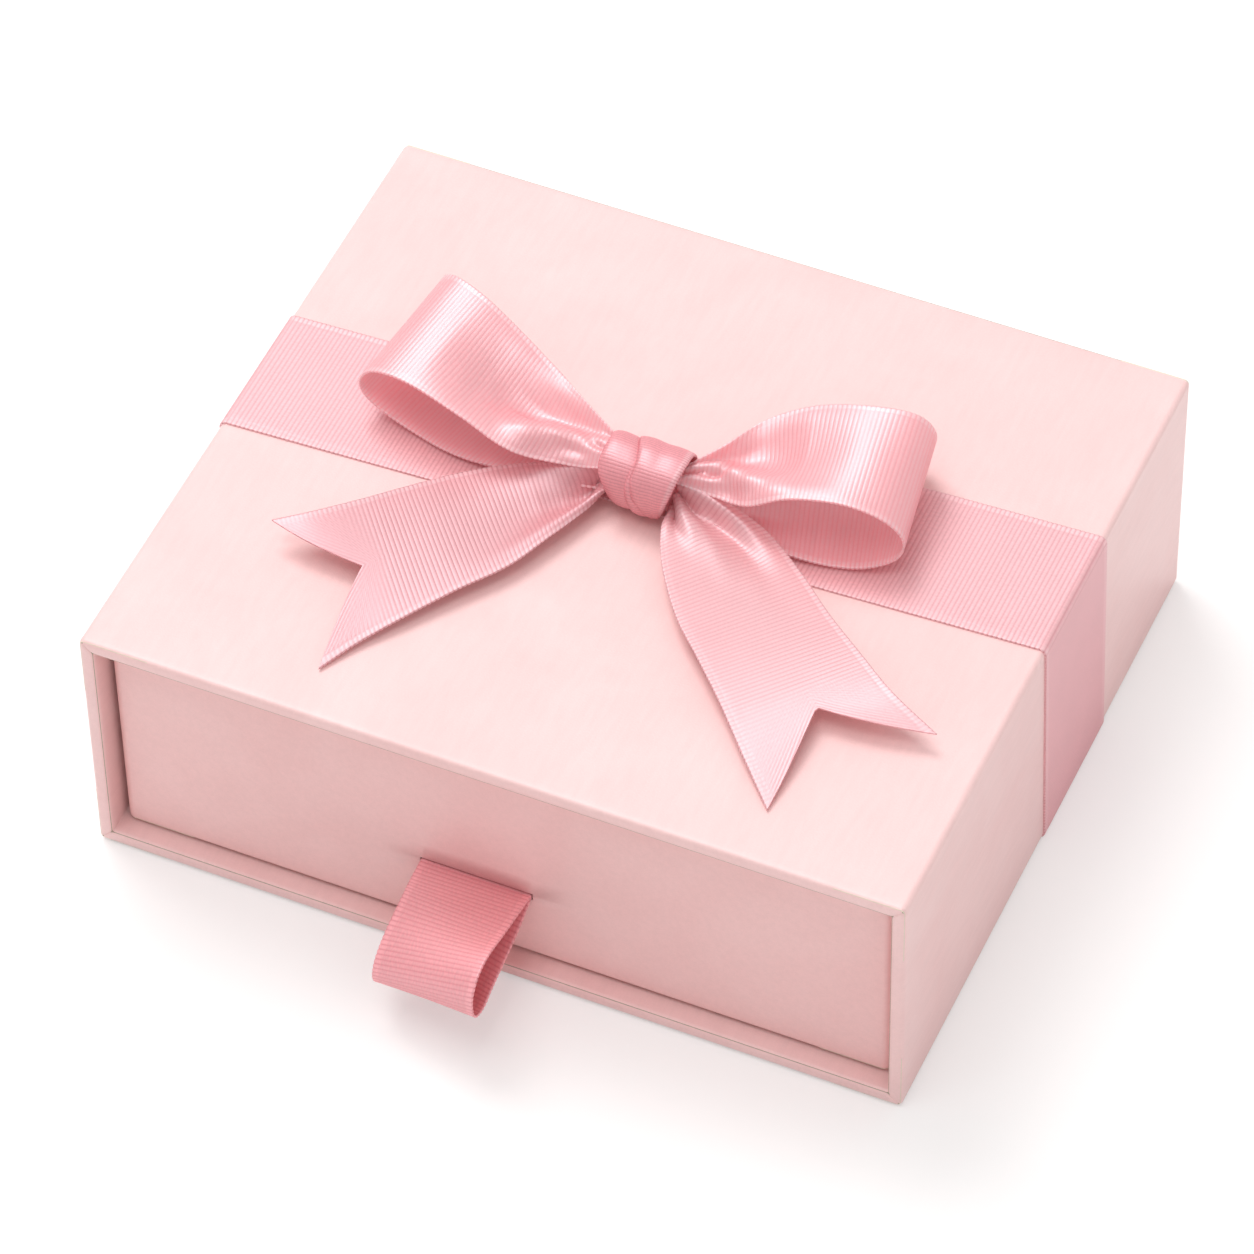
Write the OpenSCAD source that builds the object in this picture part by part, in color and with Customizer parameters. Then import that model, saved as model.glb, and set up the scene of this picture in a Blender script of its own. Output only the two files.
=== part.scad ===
// Drawer gift box: a rigid board sleeve with a sliding drawer, tied with a
// grosgrain ribbon band and bow, and a ribbon loop that pulls the drawer out.
// Origin: centre of the underside. +X along the long side, -Y the open front.

/* [Sleeve] */
// Outside width of the sleeve, along the long side
sleeve_w = 140; // [120:1:170]
// Outside depth of the sleeve, front to back
sleeve_d = 121; // [115:1:150]
// Outside height of the sleeve
sleeve_h = 48; // [42:1:70]
// Rounding of the sleeve's four long edges
edge_r = 1; // [0.6:0.1:1.5]

/* [Board and paper] */
// Thickness of the greyboard
board_t = 2; // [1.5:0.1:3]
// Thickness of the covering paper
paper_t = 0.2; // [0.15:0.05:0.3]
// Thickness of the corner tape and its glue
tape_t = 0.1; // [0.1:0.05:0.2]
// Width of each leg of a corner tape
tape_w = 12; // [8:1:16]
// Depth of the covering paper that is turned in over an edge
turn_in = 14; // [8:1:15]

/* [Drawer] */
// Running gap on each side of the drawer
side_gap = 0.9; // [0.5:0.1:1.5]
// Running gap under the drawer
bottom_gap = 0.3; // [0.3:0.1:0.8]
// Running gap over the drawer
top_gap = 0.9; // [0.5:0.1:1.5]
// Gap behind the drawer when it is shut
back_gap = 0.5; // [0.3:0.1:1.5]
// How far the drawer's front sits inside the mouth
front_recess = 3.5; // [0:0.5:6]
// Rounding of the drawer's upright corners
drawer_r = 1.5; // [0.8:0.1:2]

/* [Ribbon] */
// Width of the band and bow ribbon
ribbon_w = 26; // [22:0.5:28]
// Thickness of both ribbons
ribbon_t = 0.35; // [0.25:0.05:0.5]
// Front edge of the band at the sleeve's top left edge, from the middle
band_top_left = -9.5; // [-14:0.5:-4]
// Front edge of the band at the sleeve's top right edge, from the middle
band_top_right = -3.5; // [-8:0.5:2]
// Front edge of the band at the sleeve's bottom left edge, from the middle
band_foot_left = -8; // [-12:0.5:-2]
// Front edge of the band at the sleeve's bottom right edge, from the middle
band_foot_right = -0.5; // [-6:0.5:4]
// Width of the band where it is gathered under the knot
band_gathered_w = 6.5; // [6:0.5:10]
// How far to each side of the knot the band narrows
band_narrowing = 16; // [12:1:20]

/* [Bow] */
// Middle of the knot along X
bow_x = 0; // [-10:0.5:10]
// Middle of the knot along Y
bow_y = 1.5; // [-4:0.5:6]
// Outer radius of the knot
knot_r = 5.6; // [5.4:0.1:6.5]
// Width of the knot along X where it is widest
knot_w = 13.5; // [12.5:0.5:15]

/* [Pull loop] */
// Width of the pull ribbon
tab_w = 19; // [12:1:25]
// Middle of the pull ribbon along X
tab_x = -4; // [-30:1:30]
// How far the pull loop stands out from the drawer front
tab_reach = 22; // [14:1:26]
// Height of the slit above the drawer's underside
slit_up = 14.2; // [11.5:0.1:18]
// Spare room around the pull ribbon in its slit
slit_gap = 0.25; // [0.15:0.05:0.5]
// Length of each ribbon end that is glued behind the drawer front
tail_glued = 9; // [5:0.5:10]

/* [Hidden] */
arc_fn = 48;
over = 1;

// The sleeve stands on the band, so it starts one ribbon above the table.
sleeve_z0 = ribbon_t;
sleeve_z1 = sleeve_z0 + sleeve_h;
mouth_y = -sleeve_d / 2;
back_y = sleeve_d / 2;

// Depth of each layer of a wall, counted from its outside face.
tape_in = paper_t;
board_in = paper_t + tape_t;
liner_in = board_in + board_t;
wall_t = liner_in + paper_t;

// The drawer, from the room inside the sleeve and the running gaps.
drawer_w = sleeve_w - 2 * wall_t - 2 * side_gap;
drawer_z0 = sleeve_z0 + wall_t + bottom_gap;
drawer_z1 = sleeve_z1 - wall_t - top_gap;
drawer_y0 = mouth_y + front_recess;
drawer_y1 = back_y - wall_t - back_gap;
drawer_d = drawer_y1 - drawer_y0;

// The slit in the drawer front, and the two plies that pass through it.
slit_z = drawer_z0 + slit_up;
slit_w = tab_w + 2 * slit_gap;
ply_gap = 0.3;
ply_set_back = 0.2;
slit_h = 2 * ribbon_t + ply_gap + 2 * slit_gap;

// The pull loop's two edges as seen from the right: out from the drawer front
// and up from the slit, for a loop that stands out by 22 mm.
tab_reach_drawn = 22;
tab_left_edge = [
    [0, 0.3], [3.5, 0], [7, -0.8], [13.2, -2.5], [17, -4.6], [18.4, -7.2], [17.6, -9.6],
    [15.5, -10.8], [12.5, -10.2], [9.5, -8], [6.5, -5.5], [3.5, -3], [1.5, -1.2], [0, -0.3]
];
tab_right_edge = [
    [0, 0.3], [4, 1.1], [10, 2.3], [15.5, 3.4], [19.5, 2.6], [21.6, 0], [21.8, -3.4],
    [20.6, -5.8], [18, -6.6], [15, -5.6], [11.5, -4.6], [6, -3.2], [2, -1.5], [0, -0.3]
];

// The bow is drawn for a 26 mm ribbon and scales with the ribbon's width.
ribbon_w_drawn = 26;
bow_scale = ribbon_w / ribbon_w_drawn;
band_top_z = sleeve_z1 + ribbon_t;
knot_z = band_top_z + knot_r + 0.05;
gather_r = knot_r - 2 * ribbon_t - 0.3;
// The gathered part of the band lies a little behind the middle of the knot.
gathered_front = bow_y + 1 - band_gathered_w / 2;

// Each loop leaves the knot at the top, rounds its end and comes back below.
// Points run along its back edge and its front edge, from the foot of the knot.
loop_left_back = [
    [-5.5, 3, 8.5], [-11.5, 6.5, 9], [-19.2, 11.4, 9.3], [-27.6, 15, 12],
    [-35.7, 17.7, 15], [-42.3, 20.3, 14.8], [-45.6, 22.5, 10.5],
    [-43.5, 24, 4.2], [-35, 24.5, 1], [-24.5, 19.5, 1.5], [-13, 10.5, 2.5],
    [-5.5, 3.5, 3]
];
loop_left_front = [
    [-5.5, -2.5, 7.5], [-12.5, -2.5, 5.5], [-21.7, -5, 7.4],
    [-30.6, -4.1, 10.8], [-40.4, -2.1, 12.2], [-47.3, -0.7, 10.8],
    [-50.1, -0.3, 7], [-48.2, -0.5, 3.4], [-40, -2, 1], [-30.5, -4, 1],
    [-16.5, -4, 2], [-5.5, -2.5, 2.5]
];
loop_right_back = [
    [5.5, 2, 8], [10, 7.8, 9], [14.3, 14.9, 9.8], [21.5, 18.4, 12.6],
    [30.5, 19.3, 15.4], [37.8, 20.7, 15], [40.5, 21.9, 10.6],
    [38, 23.5, 4.2], [29, 24, 1], [20.5, 21, 1], [12, 12, 2], [5.5, 2, 3]
];
loop_right_front = [
    [5.5, -1, 7.5], [11.5, -0.5, 6.5], [18.3, -2, 8.4], [25.3, -1, 11.7],
    [33.6, 0, 13], [40.2, 0.7, 11.4], [43.5, 1.1, 7.6], [42.3, 0.5, 3.4],
    [36.5, -1.5, 1], [28, -3, 1], [16.5, -3, 2], [5.5, -1.5, 2.5]
];
// Each tail runs from under the knot, over the band, to its swallow-tail end.
tail_left_back = [
    [-5.5, -1, 7], [-12, -1.5, 5], [-20, -3, 3], [-27.5, -7.5, 2.5],
    [-34, -14.5, 3.5], [-40, -21.5, 4.5], [-46, -27.5, 5], [-51, -31, 4.5]
];
tail_left_front = [
    [-5.5, -3, 3], [-6.7, -7.6, 3.2], [-9.8, -15.4, 3], [-13.4, -23.5, 2.5],
    [-19, -31.4, 2.2], [-24.5, -39.6, 1.6], [-29, -46.4, 0.8], [-32.5, -53, 0]
];
tail_right_back = [
    [5.5, 0.5, 6.5], [11, 1, 5], [20.5, -1, 3], [29, -6.5, 2.5],
    [37, -13.5, 3], [45, -20, 4], [53, -26, 4.5], [62, -30, 3]
];
tail_right_front = [
    [5.5, -3, 3], [6.1, -8, 3.8], [9.4, -15.2, 3.8], [15.5, -23.8, 3.5],
    [22, -30.3, 3.2], [28.6, -36.9, 2.6], [35.8, -44.6, 1.5], [43, -52, 0]
];
// Where the notch of a tail lies across the ribbon, and how far along it.
notch_across_left = 0.5;
notch_across_right = 0.45;
notch_along = 0.79;

// ---- Outlines and prisms ----

// A rectangle with round corners, made of exact lines and arcs.
module round_rect(w, h, r) {
    if (r <= 0) {
        square([w, h], center = true);
    } else {
        square([w - 2 * r, h], center = true);
        square([w, h - 2 * r], center = true);
        for (x = [-1, 1], y = [-1, 1])
            translate([x * (w / 2 - r), y * (h / 2 - r)]) circle(r, $fn = arc_fn);
    }
}

// Extrudes an outline drawn in X and Z from y0 to y1.
module along_y(y0, y1) {
    translate([0, y1, 0]) rotate([90, 0, 0]) linear_extrude(y1 - y0) children();
}

// Extrudes an outline drawn in X and Y from z0 to z1.
module along_z(z0, z1) {
    translate([0, 0, z0]) linear_extrude(z1 - z0) children();
}

// The sleeve's section in X and Z, moved in from its outside face.
module sleeve_outline(inset) {
    translate([0, sleeve_z0 + sleeve_h / 2])
        round_rect(sleeve_w - 2 * inset, sleeve_h - 2 * inset, edge_r - inset);
}

// The drawer's plan in X and Y, moved in from its outside face.
module drawer_outline(inset) {
    translate([0, drawer_y0 + drawer_d / 2])
        round_rect(drawer_w - 2 * inset, drawer_d - 2 * inset, drawer_r - inset);
}

// Four squares that keep only the corners of a w by h outline.
module corner_squares(w, h, leg) {
    for (x = [-1, 1], y = [-1, 1])
        translate([x * w / 2, y * h / 2]) square(2 * leg, center = true);
}

// ---- Sleeve ----

// One board of the sleeve: the part of the section between two corners.
module sleeve_board(x0, x1, z0, z1) {
    along_y(mouth_y + paper_t, back_y - liner_in) intersection() {
        sleeve_outline(board_in);
        translate([x0, z0]) square([x1 - x0, z1 - z0]);
    }
}

module sleeve_top_board() {
    color("#b9a58e")
        sleeve_board(-sleeve_w / 2, sleeve_w / 2, sleeve_z1 - liner_in, sleeve_z1);
}

module sleeve_bottom_board() {
    color("#b9a58e")
        sleeve_board(-sleeve_w / 2, sleeve_w / 2, sleeve_z0, sleeve_z0 + liner_in);
}

module sleeve_left_board() {
    color("#b9a58e")
        sleeve_board(-sleeve_w / 2, -sleeve_w / 2 + liner_in,
                     sleeve_z0 + liner_in, sleeve_z1 - liner_in);
}

module sleeve_right_board() {
    color("#b9a58e")
        sleeve_board(sleeve_w / 2 - liner_in, sleeve_w / 2,
                     sleeve_z0 + liner_in, sleeve_z1 - liner_in);
}

module sleeve_back_board() {
    color("#b9a58e")
        along_y(back_y - liner_in, back_y - board_in) sleeve_outline(board_in);
}

// Paper tape over the four long corners, under the wrap.
module sleeve_corner_tapes() {
    color("#e8dccb")
        along_y(mouth_y + paper_t, back_y - board_in) intersection() {
            difference() {
                sleeve_outline(tape_in);
                sleeve_outline(board_in);
            }
            translate([0, sleeve_z0 + sleeve_h / 2]) corner_squares(sleeve_w, sleeve_h, tape_w);
        }
}

// The covering paper: outside faces, over the mouth's edge and turned in.
module sleeve_wrap() {
    color("#fbe0de") {
        difference() {
            along_y(mouth_y, back_y) sleeve_outline(0);
            along_y(mouth_y + paper_t, back_y - paper_t) sleeve_outline(tape_in);
            along_y(mouth_y - over, mouth_y + 2 * paper_t) sleeve_outline(wall_t);
        }
        along_y(mouth_y, mouth_y + turn_in) difference() {
            sleeve_outline(liner_in);
            sleeve_outline(wall_t);
        }
    }
}

// The lining paper, from the turned-in edge to the closed back.
module sleeve_liner() {
    color("#f6d9d8") difference() {
        along_y(mouth_y + turn_in, back_y - liner_in) sleeve_outline(liner_in);
        along_y(mouth_y, back_y - wall_t) sleeve_outline(wall_t);
    }
}

// ---- Drawer ----

// One upright board of the drawer: the part of the plan between two corners.
module drawer_board(x0, x1, y0, y1) {
    along_z(drawer_z0 + board_in, drawer_z1 - paper_t) intersection() {
        drawer_outline(board_in);
        translate([x0, y0]) square([x1 - x0, y1 - y0]);
    }
}

// The slit that the pull ribbon passes through.
module slit() {
    translate([tab_x - slit_w / 2, drawer_y0 - over, slit_z - slit_h / 2])
        cube([slit_w, liner_in + 2 * over, slit_h]);
}

module drawer_base_board() {
    color("#b9a58e") along_z(drawer_z0 + board_in, drawer_z0 + liner_in) drawer_outline(liner_in);
}

module drawer_front_board() {
    color("#b9a58e") difference() {
        drawer_board(-drawer_w / 2, drawer_w / 2, drawer_y0, drawer_y0 + liner_in);
        slit();
    }
}

module drawer_back_board() {
    color("#b9a58e")
        drawer_board(-drawer_w / 2, drawer_w / 2, drawer_y1 - liner_in, drawer_y1);
}

module drawer_left_board() {
    color("#b9a58e")
        drawer_board(-drawer_w / 2, -drawer_w / 2 + liner_in,
                     drawer_y0 + liner_in, drawer_y1 - liner_in);
}

module drawer_right_board() {
    color("#b9a58e")
        drawer_board(drawer_w / 2 - liner_in, drawer_w / 2,
                     drawer_y0 + liner_in, drawer_y1 - liner_in);
}

// Paper tape over the four upright corners, under the wrap.
module drawer_corner_tapes() {
    color("#e8dccb")
        along_z(drawer_z0 + board_in, drawer_z1 - paper_t) intersection() {
            difference() {
                drawer_outline(tape_in);
                drawer_outline(board_in);
            }
            translate([0, drawer_y0 + drawer_d / 2])
                corner_squares(drawer_w, drawer_d, tape_w);
        }
}

// The covering paper: outside faces, over the rim and turned in.
module drawer_wrap() {
    color("#e9bcbb") {
        difference() {
            along_z(drawer_z0, drawer_z1) drawer_outline(0);
            along_z(drawer_z0 + paper_t, drawer_z1 - paper_t) drawer_outline(tape_in);
            along_z(drawer_z1 - 2 * paper_t, drawer_z1 + over) drawer_outline(wall_t);
            slit();
        }
        along_z(drawer_z1 - turn_in, drawer_z1) difference() {
            drawer_outline(liner_in);
            drawer_outline(wall_t);
        }
    }
}

// The lining paper: a tray that also covers the glued ribbon ends.
module drawer_liner() {
    color("#f6d9d8") difference() {
        along_z(drawer_z0 + liner_in, drawer_z1 - turn_in) intersection() {
            drawer_outline(liner_in);
            translate([0, ribbon_t]) drawer_outline(liner_in);
        }
        along_z(drawer_z0 + wall_t, drawer_z1) intersection() {
            drawer_outline(wall_t);
            translate([0, ribbon_t]) drawer_outline(wall_t);
        }
    }
}

// ---- Ribbon sheets ----

// A point on the smooth curve through P, with u from 0 to 1 along it.
function curve_part(a, b, c, d, t) =
    0.5 * (2 * b + (c - a) * t + (2 * a - 5 * b + 4 * c - d) * t * t
           + (3 * b - a - 3 * c + d) * t * t * t);
function before(P, i) = i > 0 ? P[i - 1] : 2 * P[0] - P[1];
function after(P, i) = i < len(P) - 1 ? P[i + 1] : 2 * P[i] - P[i - 1];
function on_curve(P, u) =
    let (s = u * (len(P) - 1), i = min(floor(s), len(P) - 2))
        curve_part(before(P, i), P[i], P[i + 1], after(P, i + 1), s - i);
function unit(v) = v / norm(v);

// The middle surface between two edges: rows along the ribbon, columns across.
// The columns end at different lengths, which cuts the swallow-tail.
function sheet_grid(A, B, rows, across, ends) = [
    for (i = [0 : rows]) [
        for (j = [0 : len(across) - 1])
            let (u = i / rows * ends[j], v = across[j])
                on_curve(A, u) * (1 - v) + on_curve(B, u) * v
    ]
];
function sheet_normal(G, i, j) =
    let (n = len(G) - 1, m = len(G[0]) - 1)
        unit(cross(G[min(i + 1, n)][j] - G[max(i - 1, 0)][j],
                   G[i][min(j + 1, m)] - G[i][max(j - 1, 0)]));

// A closed sheet of thickness t on both sides of a grid of points.
module sheet(G, t) {
    n = len(G) - 1;
    m = len(G[0]) - 1;
    w = m + 1;
    layer = (n + 1) * w;
    points = [
        for (side = [1, -1], i = [0 : n], j = [0 : m])
            G[i][j] + side * t / 2 * sheet_normal(G, i, j)
    ];
    top = [
        for (i = [0 : n - 1], j = [0 : m - 1], k = [0, 1])
            let (a = i * w + j)
                k == 0 ? [a, a + 1, a + w] : [a + 1, a + w + 1, a + w]
    ];
    rim = concat(
        [for (j = [0 : m - 1]) [j, j + 1]],
        [for (i = [0 : n - 1]) [i * w + m, (i + 1) * w + m]],
        [for (j = [m : -1 : 1]) [n * w + j, n * w + j - 1]],
        [for (i = [n : -1 : 1]) [i * w, (i - 1) * w]]
    );
    bottom = [for (f = top) [f[0] + layer, f[2] + layer, f[1] + layer]];
    walls = [
        for (e = rim, k = [0, 1])
            k == 0 ? [e[1], e[0], e[0] + layer] : [e[1], e[0] + layer, e[1] + layer]
    ];
    polyhedron(points, concat(top, bottom, walls), convexity = 6);
}

// Moves the bow's points to the knot and scales them with the ribbon.
function bow_points(P) = [for (p = P) [bow_x, bow_y, band_top_z] + p * bow_scale];
even_ends = [1, 1, 1, 1, 1];
quarters = [0, 0.25, 0.5, 0.75, 1];

module bow_loop(back_edge, front_edge) {
    sheet(sheet_grid(bow_points(back_edge), bow_points(front_edge), 44, quarters, even_ends),
          ribbon_t);
}

module bow_tail(back_edge, front_edge, notch) {
    across = [0, notch / 2, notch, (1 + notch) / 2, 1];
    half_cut = (1 + notch_along) / 2;
    sheet(sheet_grid(bow_points(back_edge), bow_points(front_edge), 28, across,
                     [1, half_cut, notch_along, half_cut, 1]),
          ribbon_t);
}

module bow_loop_left() {
    color("#f4b3b8") bow_loop(loop_left_back, loop_left_front);
}

module bow_loop_right() {
    color("#f4b3b8") bow_loop(loop_right_back, loop_right_front);
}

module bow_tail_left() {
    color("#f7c2c5") bow_tail(tail_left_back, tail_left_front, notch_across_left);
}

module bow_tail_right() {
    color("#f7c2c5") bow_tail(tail_right_back, tail_right_front, notch_across_right);
}

// The bunched ribbon that the knot holds together.
module bow_gather() {
    length = 2 * 5.2 * bow_scale;
    color("#e79aa2")
        translate([bow_x - length / 2, bow_y, knot_z])
            rotate([0, 90, 0]) cylinder(h = length, r = gather_r, $fn = arc_fn);
}

// The turn of ribbon round the gather: two folds side by side, with a crease
// between them, narrower in front and below than behind and on top.
module bow_knot() {
    fold_t = 2 * ribbon_t;
    taper = 0.18;
    reach = 2 * knot_r;
    color("#efa5ab")
        translate([bow_x, bow_y, knot_z]) intersection() {
            rotate([0, 90, 0]) rotate_extrude($fn = arc_fn) difference() {
                translate([knot_r - fold_t, -knot_w / 2]) square([fold_t, knot_w]);
                translate([knot_r + 0.2, 0]) circle(0.6, $fn = arc_fn);
            }
            rotate([-50, 0, 0]) rotate([90, 0, 0]) linear_extrude(3 * knot_r, center = true)
                polygon([
                    [-knot_w / 2, reach / 2], [knot_w / 2, reach / 2],
                    [knot_w / 2 - taper * reach, -reach / 2 - over],
                    [taper * reach - knot_w / 2, -reach / 2 - over]
                ]);
        }
}

// ---- Band ----

// The ribbon round the sleeve lies flat on all four sides and slants a little.
// On top it narrows to its gathered width, where the knot is tied over it.
module ribbon_band() {
    flat_x = sleeve_w / 2 - edge_r;
    side_z0 = sleeve_z0 + edge_r;
    side_z1 = sleeve_z1 - edge_r;
    far = sleeve_w / 2 + over;
    module strip(left, right) {
        polygon([
            [-far, left], [-flat_x, left], [flat_x, right], [far, right],
            [far, right + ribbon_w], [flat_x, right + ribbon_w],
            [-flat_x, left + ribbon_w], [-far, left + ribbon_w]
        ]);
    }
    module side(x0, x1, foot, top) {
        translate([x1, 0, 0]) rotate([0, -90, 0]) linear_extrude(x1 - x0) polygon([
            [sleeve_z0 - over, foot], [side_z0, foot], [side_z1, top], [sleeve_z1 + over, top],
            [sleeve_z1 + over, top + ribbon_w], [side_z1, top + ribbon_w],
            [side_z0, foot + ribbon_w], [sleeve_z0 - over, foot + ribbon_w]
        ]);
    }
    module top_strip() {
        steps = 8;
        from_knot = [for (i = [0 : steps]) knot_w / 2 + i / steps * band_narrowing];
        xs = concat(
            [-far, -flat_x],
            [for (i = [steps : -1 : 0]) bow_x - from_knot[i]],
            [for (d = from_knot) bow_x + d],
            [flat_x, far]
        );
        function full(x) =
            let (t = min(max((abs(x - bow_x) - knot_w / 2) / band_narrowing, 0), 1))
                t * t * (3 - 2 * t);
        function line(x) =
            let (t = min(max((x + flat_x) / (2 * flat_x), 0), 1))
                band_top_left * (1 - t) + band_top_right * t;
        function front(x) = line(x) * full(x) + gathered_front * (1 - full(x));
        function width(x) = ribbon_w * full(x) + band_gathered_w * (1 - full(x));
        polygon(concat(
            [for (x = xs) [x, front(x)]],
            [for (i = [len(xs) - 1 : -1 : 0]) [xs[i], front(xs[i]) + width(xs[i])]]
        ));
    }
    color("#f5bcc0") intersection() {
        along_y(mouth_y, back_y) difference() {
            sleeve_outline(-ribbon_t);
            sleeve_outline(0);
        }
        union() {
            along_z(side_z1, sleeve_z1 + over) top_strip();
            along_z(sleeve_z0 - over, side_z0)
                strip(band_foot_left, band_foot_right);
            side(-far, -flat_x, band_foot_left, band_top_left);
            side(flat_x, far, band_foot_right, band_top_right);
        }
    }
}

// ---- Pull ribbon ----

// One ply through the slit, turned up or down and glued behind the board.
module anchor_ply(up) {
    near_z = ply_gap / 2;
    through = liner_in + ribbon_t;
    translate([tab_x - tab_w / 2, drawer_y0, slit_z]) mirror([0, 0, up ? 0 : 1])
        rotate([90, 0, 90]) linear_extrude(tab_w) {
            translate([ply_set_back, near_z]) square([through - ply_set_back, ribbon_t]);
            translate([liner_in, near_z]) square([ribbon_t, ribbon_t + tail_glued]);
        }
}

module pull_tab_anchor() {
    color("#efa5ab") {
        anchor_ply(true);
        anchor_ply(false);
    }
}

// The free loop: a ruled sheet between its left and right edges.
module pull_tab_loop() {
    root_gap = 0.45;
    reach = tab_reach / tab_reach_drawn;
    ply_z = (ply_gap + ribbon_t) / 2;
    // The first and last points meet the two plies in the slit.
    function height(P, i) =
        i == 0 ? ply_z : i == len(P) - 1 ? -ply_z : P[i][1] * reach;
    function edge(P, x) = [
        for (i = [0 : len(P) - 1])
            [x, drawer_y0 - root_gap - P[i][0] * reach, slit_z + height(P, i)]
    ];
    left = edge(tab_left_edge, tab_x - tab_w / 2);
    right = edge(tab_right_edge, tab_x + tab_w / 2);
    color("#f4b3b8") sheet(sheet_grid(left, right, 52, quarters, even_ends), ribbon_t);
}

sleeve_top_board();
sleeve_bottom_board();
sleeve_left_board();
sleeve_right_board();
sleeve_back_board();
sleeve_corner_tapes();
sleeve_wrap();
sleeve_liner();
drawer_base_board();
drawer_front_board();
drawer_back_board();
drawer_left_board();
drawer_right_board();
drawer_corner_tapes();
drawer_wrap();
drawer_liner();
pull_tab_anchor();
pull_tab_loop();
ribbon_band();
bow_gather();
bow_knot();
bow_loop_left();
bow_loop_right();
bow_tail_left();
bow_tail_right();
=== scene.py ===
import math

import bpy
import numpy as np
from mathutils import Matrix, Vector


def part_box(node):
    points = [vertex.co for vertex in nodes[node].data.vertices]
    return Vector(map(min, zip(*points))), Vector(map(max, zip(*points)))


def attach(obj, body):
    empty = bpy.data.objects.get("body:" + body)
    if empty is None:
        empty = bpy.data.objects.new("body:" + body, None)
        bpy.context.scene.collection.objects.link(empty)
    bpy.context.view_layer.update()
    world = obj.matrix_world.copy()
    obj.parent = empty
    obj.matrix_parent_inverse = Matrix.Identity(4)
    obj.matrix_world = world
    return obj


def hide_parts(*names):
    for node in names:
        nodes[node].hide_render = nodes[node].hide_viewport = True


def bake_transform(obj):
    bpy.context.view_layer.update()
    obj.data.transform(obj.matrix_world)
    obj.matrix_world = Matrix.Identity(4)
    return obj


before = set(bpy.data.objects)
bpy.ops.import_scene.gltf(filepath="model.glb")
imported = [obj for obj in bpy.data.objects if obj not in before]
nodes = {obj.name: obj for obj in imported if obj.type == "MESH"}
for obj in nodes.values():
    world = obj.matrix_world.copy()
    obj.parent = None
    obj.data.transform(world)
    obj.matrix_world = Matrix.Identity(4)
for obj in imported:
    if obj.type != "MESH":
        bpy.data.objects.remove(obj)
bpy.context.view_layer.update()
MM = 0.001


# ---- Camera ----
# A long lens looking down on the box from the front right, held a little out of level.
CAMERA_AT = (0.31164, -0.67900, 0.85827)
CAMERA_AZIMUTH = math.radians(24.8818)
CAMERA_ELEVATION = math.radians(48.2938)
CAMERA_ROLL = math.radians(-1.3416)
FOCAL_MM = 199.0
SENSOR_MM = 36.0

backward = Vector((
    math.sin(CAMERA_AZIMUTH) * math.cos(CAMERA_ELEVATION),
    -math.cos(CAMERA_AZIMUTH) * math.cos(CAMERA_ELEVATION),
    math.sin(CAMERA_ELEVATION),
))
level = Vector((0, 0, 1)).cross(backward).normalized()
upright = backward.cross(level)
right = math.cos(CAMERA_ROLL) * level + math.sin(CAMERA_ROLL) * upright
up = math.cos(CAMERA_ROLL) * upright - math.sin(CAMERA_ROLL) * level
camera_data = bpy.data.cameras.new("camera")
camera_data.lens = FOCAL_MM
camera_data.sensor_width = SENSOR_MM
camera_data.clip_start = 0.05
camera_data.clip_end = 20
camera = bpy.data.objects.new("camera", camera_data)
bpy.context.scene.collection.objects.link(camera)
camera.matrix_world = Matrix.Translation(CAMERA_AT) @ Matrix((right, up, backward)).transposed().to_4x4()
bpy.context.scene.camera = camera
bpy.context.scene.view_settings.view_transform = "Standard"


# ---- Table and lamps ----
# A matt white table top in a white room that is brightest behind the box. A large softbox
# above the back left draws its soft shadow, and a second one fills in from right above.
TABLE_WHITE = "#FAF8F7"
TABLE_SIZE = 6.0
ROOM_FRONT = 0.51
ROOM_BACK = 0.72
SOFTBOX_SIZE = 1.3
SOFTBOX_AWAY = 3.0
# Where each softbox stands, and how brightly it lights a level matt surface.
SOFTBOXES = [
    ("key_softbox", Vector((-0.40, 0.27, 0.88)), 0.39),
    ("front_softbox", Vector((-0.06, -0.22, 0.97)), 0.21),
]
# How much of the table's brightness the camera sees as its own white, and how white.
TABLE_GLOW = 0.32
TABLE_GLOW_LEVEL = 1.16


def linear(colour):
    """An sRGB hex colour as a linear RGBA colour."""
    parts = [int(colour[i:i + 2], 16) / 255 for i in (1, 3, 5)]
    return (*[p / 12.92 if p <= 0.04045 else ((p + 0.055) / 1.055) ** 2.4 for p in parts], 1.0)


def add(tree, kind, inputs=None, **settings):
    """Adds a node, sets its properties, and links or sets its inputs."""
    node = tree.nodes.new(kind)
    for name, value in settings.items():
        setattr(node, name, value)
    for name, value in (inputs or {}).items():
        if isinstance(value, bpy.types.NodeSocket):
            tree.links.new(value, node.inputs[name])
        else:
            node.inputs[name].default_value = value
    return node


def new_material(name):
    """An empty node material and its node tree."""
    material = bpy.data.materials.new(name)
    material.use_nodes = True
    material.node_tree.nodes.clear()
    return material, material.node_tree


def finish_material(tree, shader):
    """Links a shader to the tree's material output."""
    output = add(tree, "ShaderNodeOutputMaterial")
    tree.links.new(shader.outputs[0], output.inputs["Surface"])


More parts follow.
